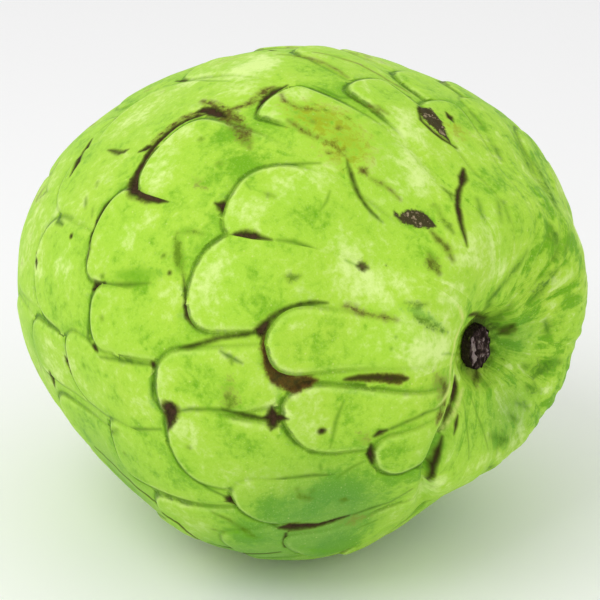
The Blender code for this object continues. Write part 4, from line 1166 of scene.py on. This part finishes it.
# The woody stub down in the dish
def makeStub(material, carrier):
    part = stub
    radius, length = part["radius"], part["length"]
    shape = bmesh.new()
    bmesh.ops.create_cone(
        shape, cap_ends=True, segments=part["sides"], radius1=radius, radius2=radius, depth=length)
    walls = [edge for edge in shape.edges if abs(edge.verts[0].co.z - edge.verts[1].co.z) > 0.1]
    bmesh.ops.subdivide_edges(shape, edges=walls, cuts=part["wallCuts"])
    top = [face for face in shape.faces if face.normal.z > 0.9 and face.calc_center_median().z > 0]
    for share in part["insets"]:
        bmesh.ops.inset_region(shape, faces=top, thickness=radius * share)
    bmesh.ops.poke(shape, faces=top)
    foot = body["stemFloor"] + part["gap"] + length / 2
    baseWear, splinterWear, tearWear, rimWear, paleWear = part["wearAndHighlight"]
    # pale dry fibre, partly a painted highlight where the crown, its splinters and the strand stand up;
    # darker on the side wall
    wornAndHighlit = []
    for vertex in shape.verts:
        across, up, lift = vertex.co
        out = math.hypot(across, up) / radius
        turn = math.atan2(up, across)
        ridge = (1 + math.cos(part["ridges"] * turn + part["ridgeUneven"] * math.cos(2 * turn))) / 2
        strand = noise.noise(Vector((math.cos(turn) * 5, math.sin(turn) * 5, lift * 0.25)))
        wearAndHighlight = -part["sideWear"]
        if lift > length / 2 - 0.01:
            splinter = noise.noise(Vector((across * 0.3, up * 1.3, 3.7)))
            tear = noise.noise(Vector((across * 1.1, up * 2.4, 9.1)))
            slant = part["crownSlant"] * math.cos(turn - part["slantTurn"])
            beside = (up - part["strandAt"] - 0.3 * math.sin(across * 0.9)) / part["strandWidth"]
            pale = math.exp(-beside ** 2 - (across / part["strandLength"]) ** 4)
            lift += part["crown"] * (part["crownRidge"] * ridge * out - out ** 3 + slant)
            lift += (part["splinter"] * splinter + part["tear"] * tear) * (1 - 0.3 * out)
            lift += part["strandLift"] * pale
            wearAndHighlight += baseWear + splinterWear * splinter + tearWear * tear - rimWear * out + paleWear * pale
        wornAndHighlit.append(wearAndHighlight)
        shrink = 1 - part["ridgeDepth"] * ridge * out - part["strand"] * (0.4 + strand) * out
        place = Vector((lift + foot, up * shrink * part["oval"] - part["aside"], -across * shrink))
        vertex.co = (place + Vector(body["core"])) * mm
    bmesh.ops.triangulate(shape, faces=shape.faces[:])
    bmesh.ops.recalc_face_normals(shape, faces=shape.faces[:])
    piece = newPiece(shape, "stub", material, carrier)
    keepField(piece.data, "wornAndHighlit", wornAndHighlit, "POINT")
    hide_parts("stem_stub")
    return piece


def stubMaterial():
    material, shader, wire = newMaterial("stub wood")
    place = millimetres(wire)
    stretched = wire.node("ShaderNodeMapping", None, {"Vector": place, "Scale": stub["fibreStretch"]})
    fibre, fine = stretched.grain(*stub["fibreGrain"]), place.grain(*stub["fineGrain"])
    # paler dry fibre, which is also a painted highlight on the raised crown
    wornAndHighlit = wire.field("wornAndHighlit") + fibre * 2.0 + fine * 0.6
    colour = wire.mix(wornAndHighlit.soft(-0.1, 0.6), stub["dark"], stub["brown"])
    colour = colour.tint(wornAndHighlit.soft(0.40, 0.90) * 0.85, stub["dryAndHighlight"])
    colour = colour.tint((-fine).soft(0.1, 0.35) * 0.6, stub["dark"])
    feed(shader, "Base Color", colour)
    feed(shader, "Roughness", stub["rough"] + fine * 0.3)
    feedBump(shader, fibre * 1.4 + fine * 0.3)
    shader.inputs["Specular IOR Level"].default_value = stub["specular"]
    return material


fruitBody = list(frame["bodies"])[0]
makeSkin(skinMaterial(), fruitBody)
makeStub(stubMaterial(), fruitBody)
print("fruit and stub made")

# Floor, light and camera
studio = {
    "floor": (0.96, 0.96, 0.96), "floorSize": 3, "floorRough": 0.9, "floorSpecular": 0.1,
    "world": 0.82,
    "lights": (   # azimuth, elevation, distance, size, watts
        ("key", -8.0, 52.0, 0.75, 0.55, 1.7), ("fill", 95.0, 30.0, 0.8, 0.6, 0.2)),
    "clip": (0.01, 20.0),
}


def stand(thing, name, azimuth, elevation, distance):   # puts a lamp or camera there, turned to the fruit
    a, e = math.radians(azimuth), math.radians(elevation)
    way = Vector((math.sin(a) * math.cos(e), -math.cos(a) * math.cos(e), math.sin(e)))
    core = Vector(body["core"]) * mm
    holder = bpy.data.objects.new(name, thing)
    holder.location = core + way * distance
    holder.rotation_euler = (core - holder.location).to_track_quat("-Z", "Y").to_euler()
    bpy.context.scene.collection.objects.link(holder)
    return holder


floorShape = bmesh.new()
bmesh.ops.create_grid(floorShape, x_segments=2, y_segments=2, size=studio["floorSize"])
floorData = bpy.data.meshes.new("floor")
floorShape.to_mesh(floorData)
floorShape.free()
floorMaterial, floorShader, floorWire = newMaterial("floor")
floorShader.inputs["Base Color"].default_value = (*studio["floor"], 1)
floorShader.inputs["Roughness"].default_value = studio["floorRough"]
floorShader.inputs["Specular IOR Level"].default_value = studio["floorSpecular"]
floorData.materials.append(floorMaterial)
floor = bpy.data.objects.new("floor", floorData)
bpy.context.scene.collection.objects.link(floor)

for name, azimuth, elevation, distance, size, watts in studio["lights"]:
    lamp = bpy.data.lights.new(name, "AREA")
    lamp.shape, lamp.size, lamp.energy = "DISK", size, watts
    stand(lamp, name, azimuth, elevation, distance)

world = bpy.data.worlds.new("studio")
world.use_nodes = True
world.node_tree.nodes["Background"].inputs["Color"].default_value = (1, 1, 1, 1)
world.node_tree.nodes["Background"].inputs["Strength"].default_value = studio["world"]
bpy.context.scene.world = world
bpy.context.scene.view_settings.view_transform = "Standard"

lens = bpy.data.cameras.new("camera")
lens.lens, lens.sensor_width = photo["lens"], photo["sensor"]
lens.shift_x, lens.shift_y = photo["shift"]
lens.clip_start, lens.clip_end = studio["clip"]
camera = stand(lens, "camera", photo["azimuth"], photo["elevation"], photo["distance"] * mm)
bpy.context.scene.camera = camera
print("floor, lights and camera placed")
